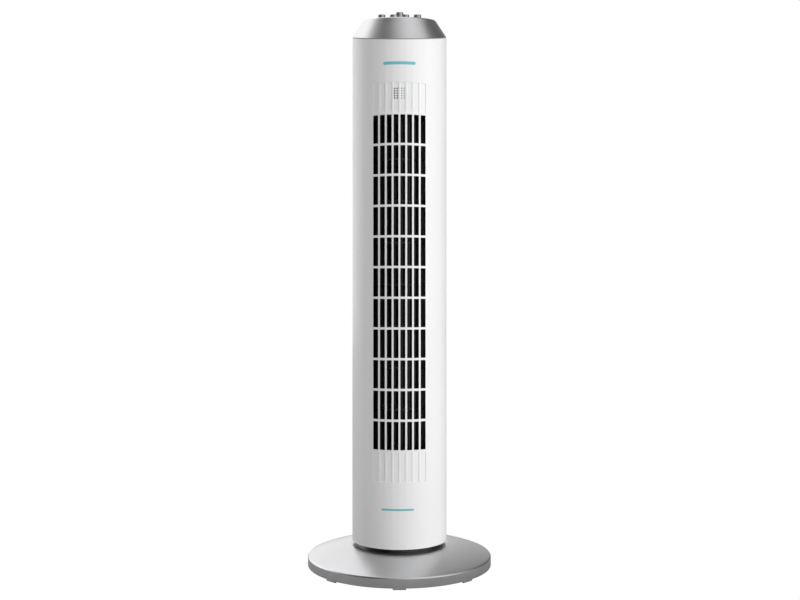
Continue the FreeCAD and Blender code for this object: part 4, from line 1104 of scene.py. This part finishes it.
def printed_bar(name, middle, height, wide, tall):
    """A thin patch with round ends on the tower's front."""
    straight, end = wide / 2 - tall / 2, tall / 2
    turns = [math.pi * (step / STEPS - 0.5) for step in range(STEPS + 1)]
    columns = sorted({round(straight + math.cos(turn) * end, 7) for turn in turns})
    even = [i * wide / STEPS - wide / 2 for i in range(STEPS + 1)]
    spans = [x for x in even if abs(x) < columns[0]]
    points = []
    for x in [-x for x in reversed(columns)] + spans + columns:
        over = max(0.0, abs(x) - straight)
        half = math.sqrt(max(end ** 2 - over ** 2, 1e-10))
        under, above = (-math.sqrt(radius ** 2 - (middle + x) ** 2)
                        for radius in (INK_UNDER, INK_OVER))
        points += [(middle + x, under, height - half), (middle + x, under, height + half),
                   (middle + x, above, height + half), (middle + x, above, height - half)]
    return strip_piece(name, points, teal_ink, 30.0)


for name, *sizes in (("upper_mark", 0.0, 678.0, 43.0, 4.0), ("lower_mark", -2.2, 88.0, 43.0, 2.6)):
    mark = printed_bar(name, *(size * MM for size in sizes))
    hand_over(mark, "tower", "white_shell")

# %% [markdown]
# ## Impeller
# A tower fan moves air with one long drum of curved blades, tied by thin discs. The blade is one
# curved sheet, copied twenty-four times by the ring tree, and the discs are copied by the rows
# tree. Behind the slots only the blades' edges catch light, as thin upright streaks.

# %% The long wheel of blades
low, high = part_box("impeller_wheel")
WHEEL_RADIUS = high.x
WHEEL_TOP = high.z
HUB_FLOOR = low.z
WHEEL_FLOOR = HUB_FLOOR + 12.0 * MM
BLADE_CHORD = 8.0 * MM
BLADE_THICK = 1.0 * MM
BLADE_LEAD = 3.2 * MM
BLADES = 24
BENDS = 6
INSIDE_DISCS = 0.998
points = []
for step in range(BENDS + 1):
    t = step / BENDS
    radius = (WHEEL_RADIUS - BLADE_CHORD * (1 - t)) * INSIDE_DISCS
    lift = BLADE_LEAD * t ** 2
    points += [(radius, lift, WHEEL_FLOOR), (radius, lift + BLADE_THICK, WHEEL_FLOOR),
               (radius, lift + BLADE_THICK, WHEEL_TOP), (radius, lift, WHEEL_TOP)]
wheel = strip_piece("impeller_blades", points, black_plastic, 40.0)
copy_with(RING_TREE, wheel, black_plastic, count=BLADES, first_angle=0.0)

# %% [markdown]
# The discs tie the blades, the hub below takes the motor's shaft, and the lid above holds the stub
# that turns in the upper bearing. All four parts are one moulding, so their meshes are joined.

# %% Discs, hub and lid of the wheel
DISC_COUNT = 9
DISC_THICK = 1.6 * MM
DISC_INNER = WHEEL_RADIUS - BLADE_CHORD * 2
disc_step = (WHEEL_TOP - WHEEL_FLOOR - DISC_THICK) / (DISC_COUNT - 1)
disc_section = rounded_section([(DISC_INNER, 0.0), (WHEEL_RADIUS, 0.0, 0.4 * MM),
                                (WHEEL_RADIUS, DISC_THICK, 0.4 * MM), (DISC_INNER, DISC_THICK)], 2)
disc = turned_piece("disc", disc_section, black_plastic, 72,
                    Matrix.Translation((0, 0, WHEEL_FLOOR)))
copy_with(ROWS_TREE, disc, black_plastic, columns=1, rows=DISC_COUNT, step_across=0.0,
          step_up=disc_step)
HUB_RADIUS = 9.0 * MM
SHAFT = 4.02 * MM
STUB = 3.02 * MM
PLATE = DISC_INNER + MM
PLATE_TOP = WHEEL_FLOOR + DISC_THICK * 1.5
LID_FLOOR = WHEEL_TOP - DISC_THICK
hub = turned_piece("hub", rounded_section([
    (SHAFT, HUB_FLOOR), (HUB_RADIUS, HUB_FLOOR, 0.6 * MM),
    (HUB_RADIUS, WHEEL_FLOOR + 2 * MM, 1.0 * MM), (PLATE, WHEEL_FLOOR + DISC_THICK),
    (PLATE, PLATE_TOP), (SHAFT, PLATE_TOP)]), black_plastic, 72)
lid = turned_piece("lid", rounded_section([
    (STUB, LID_FLOOR), (PLATE, LID_FLOOR), (PLATE, WHEEL_TOP), (STUB, WHEEL_TOP)]),
    black_plastic, 72)
joined(wheel, disc, hub, lid)
hand_over(wheel, "impeller", slots_of["impeller_wheel"], "impeller_wheel")

# %% [markdown]
# ## Floor
# The floor is plain and pale and isn't part of the fan. The lens sees it as white as the room, and
# the fan is lit by its grey.

# %% The pale floor
floor_finish = make_finish("pale_floor", (0.37, 0.37, 0.37), 0.85, grain=300.0, mottle=0.004,
                           bump=0.01)
nodes, links = floor_finish.node_tree.nodes, floor_finish.node_tree.links
glow = nodes.new("ShaderNodeEmission")
seen = nodes.new("ShaderNodeLightPath")
pick = nodes.new("ShaderNodeMixShader")
links.new(seen.outputs["Is Camera Ray"], pick.inputs["Fac"])
links.new(nodes["Principled BSDF"].outputs[0], pick.inputs[1])
links.new(glow.outputs[0], pick.inputs[2])
links.new(pick.outputs[0], nodes["Material Output"].inputs["Surface"])

SPREAD = 6.0
corners = [(x * SPREAD, y * SPREAD, 0.0) for x, y in ((-1, -1), (1, -1), (1, 1), (-1, 1))]
ground = bpy.data.meshes.new("pale_floor")
ground.from_pydata(corners, [], [(0, 1, 2, 3)])
pale_floor = as_object("pale_floor", ground, floor_finish)
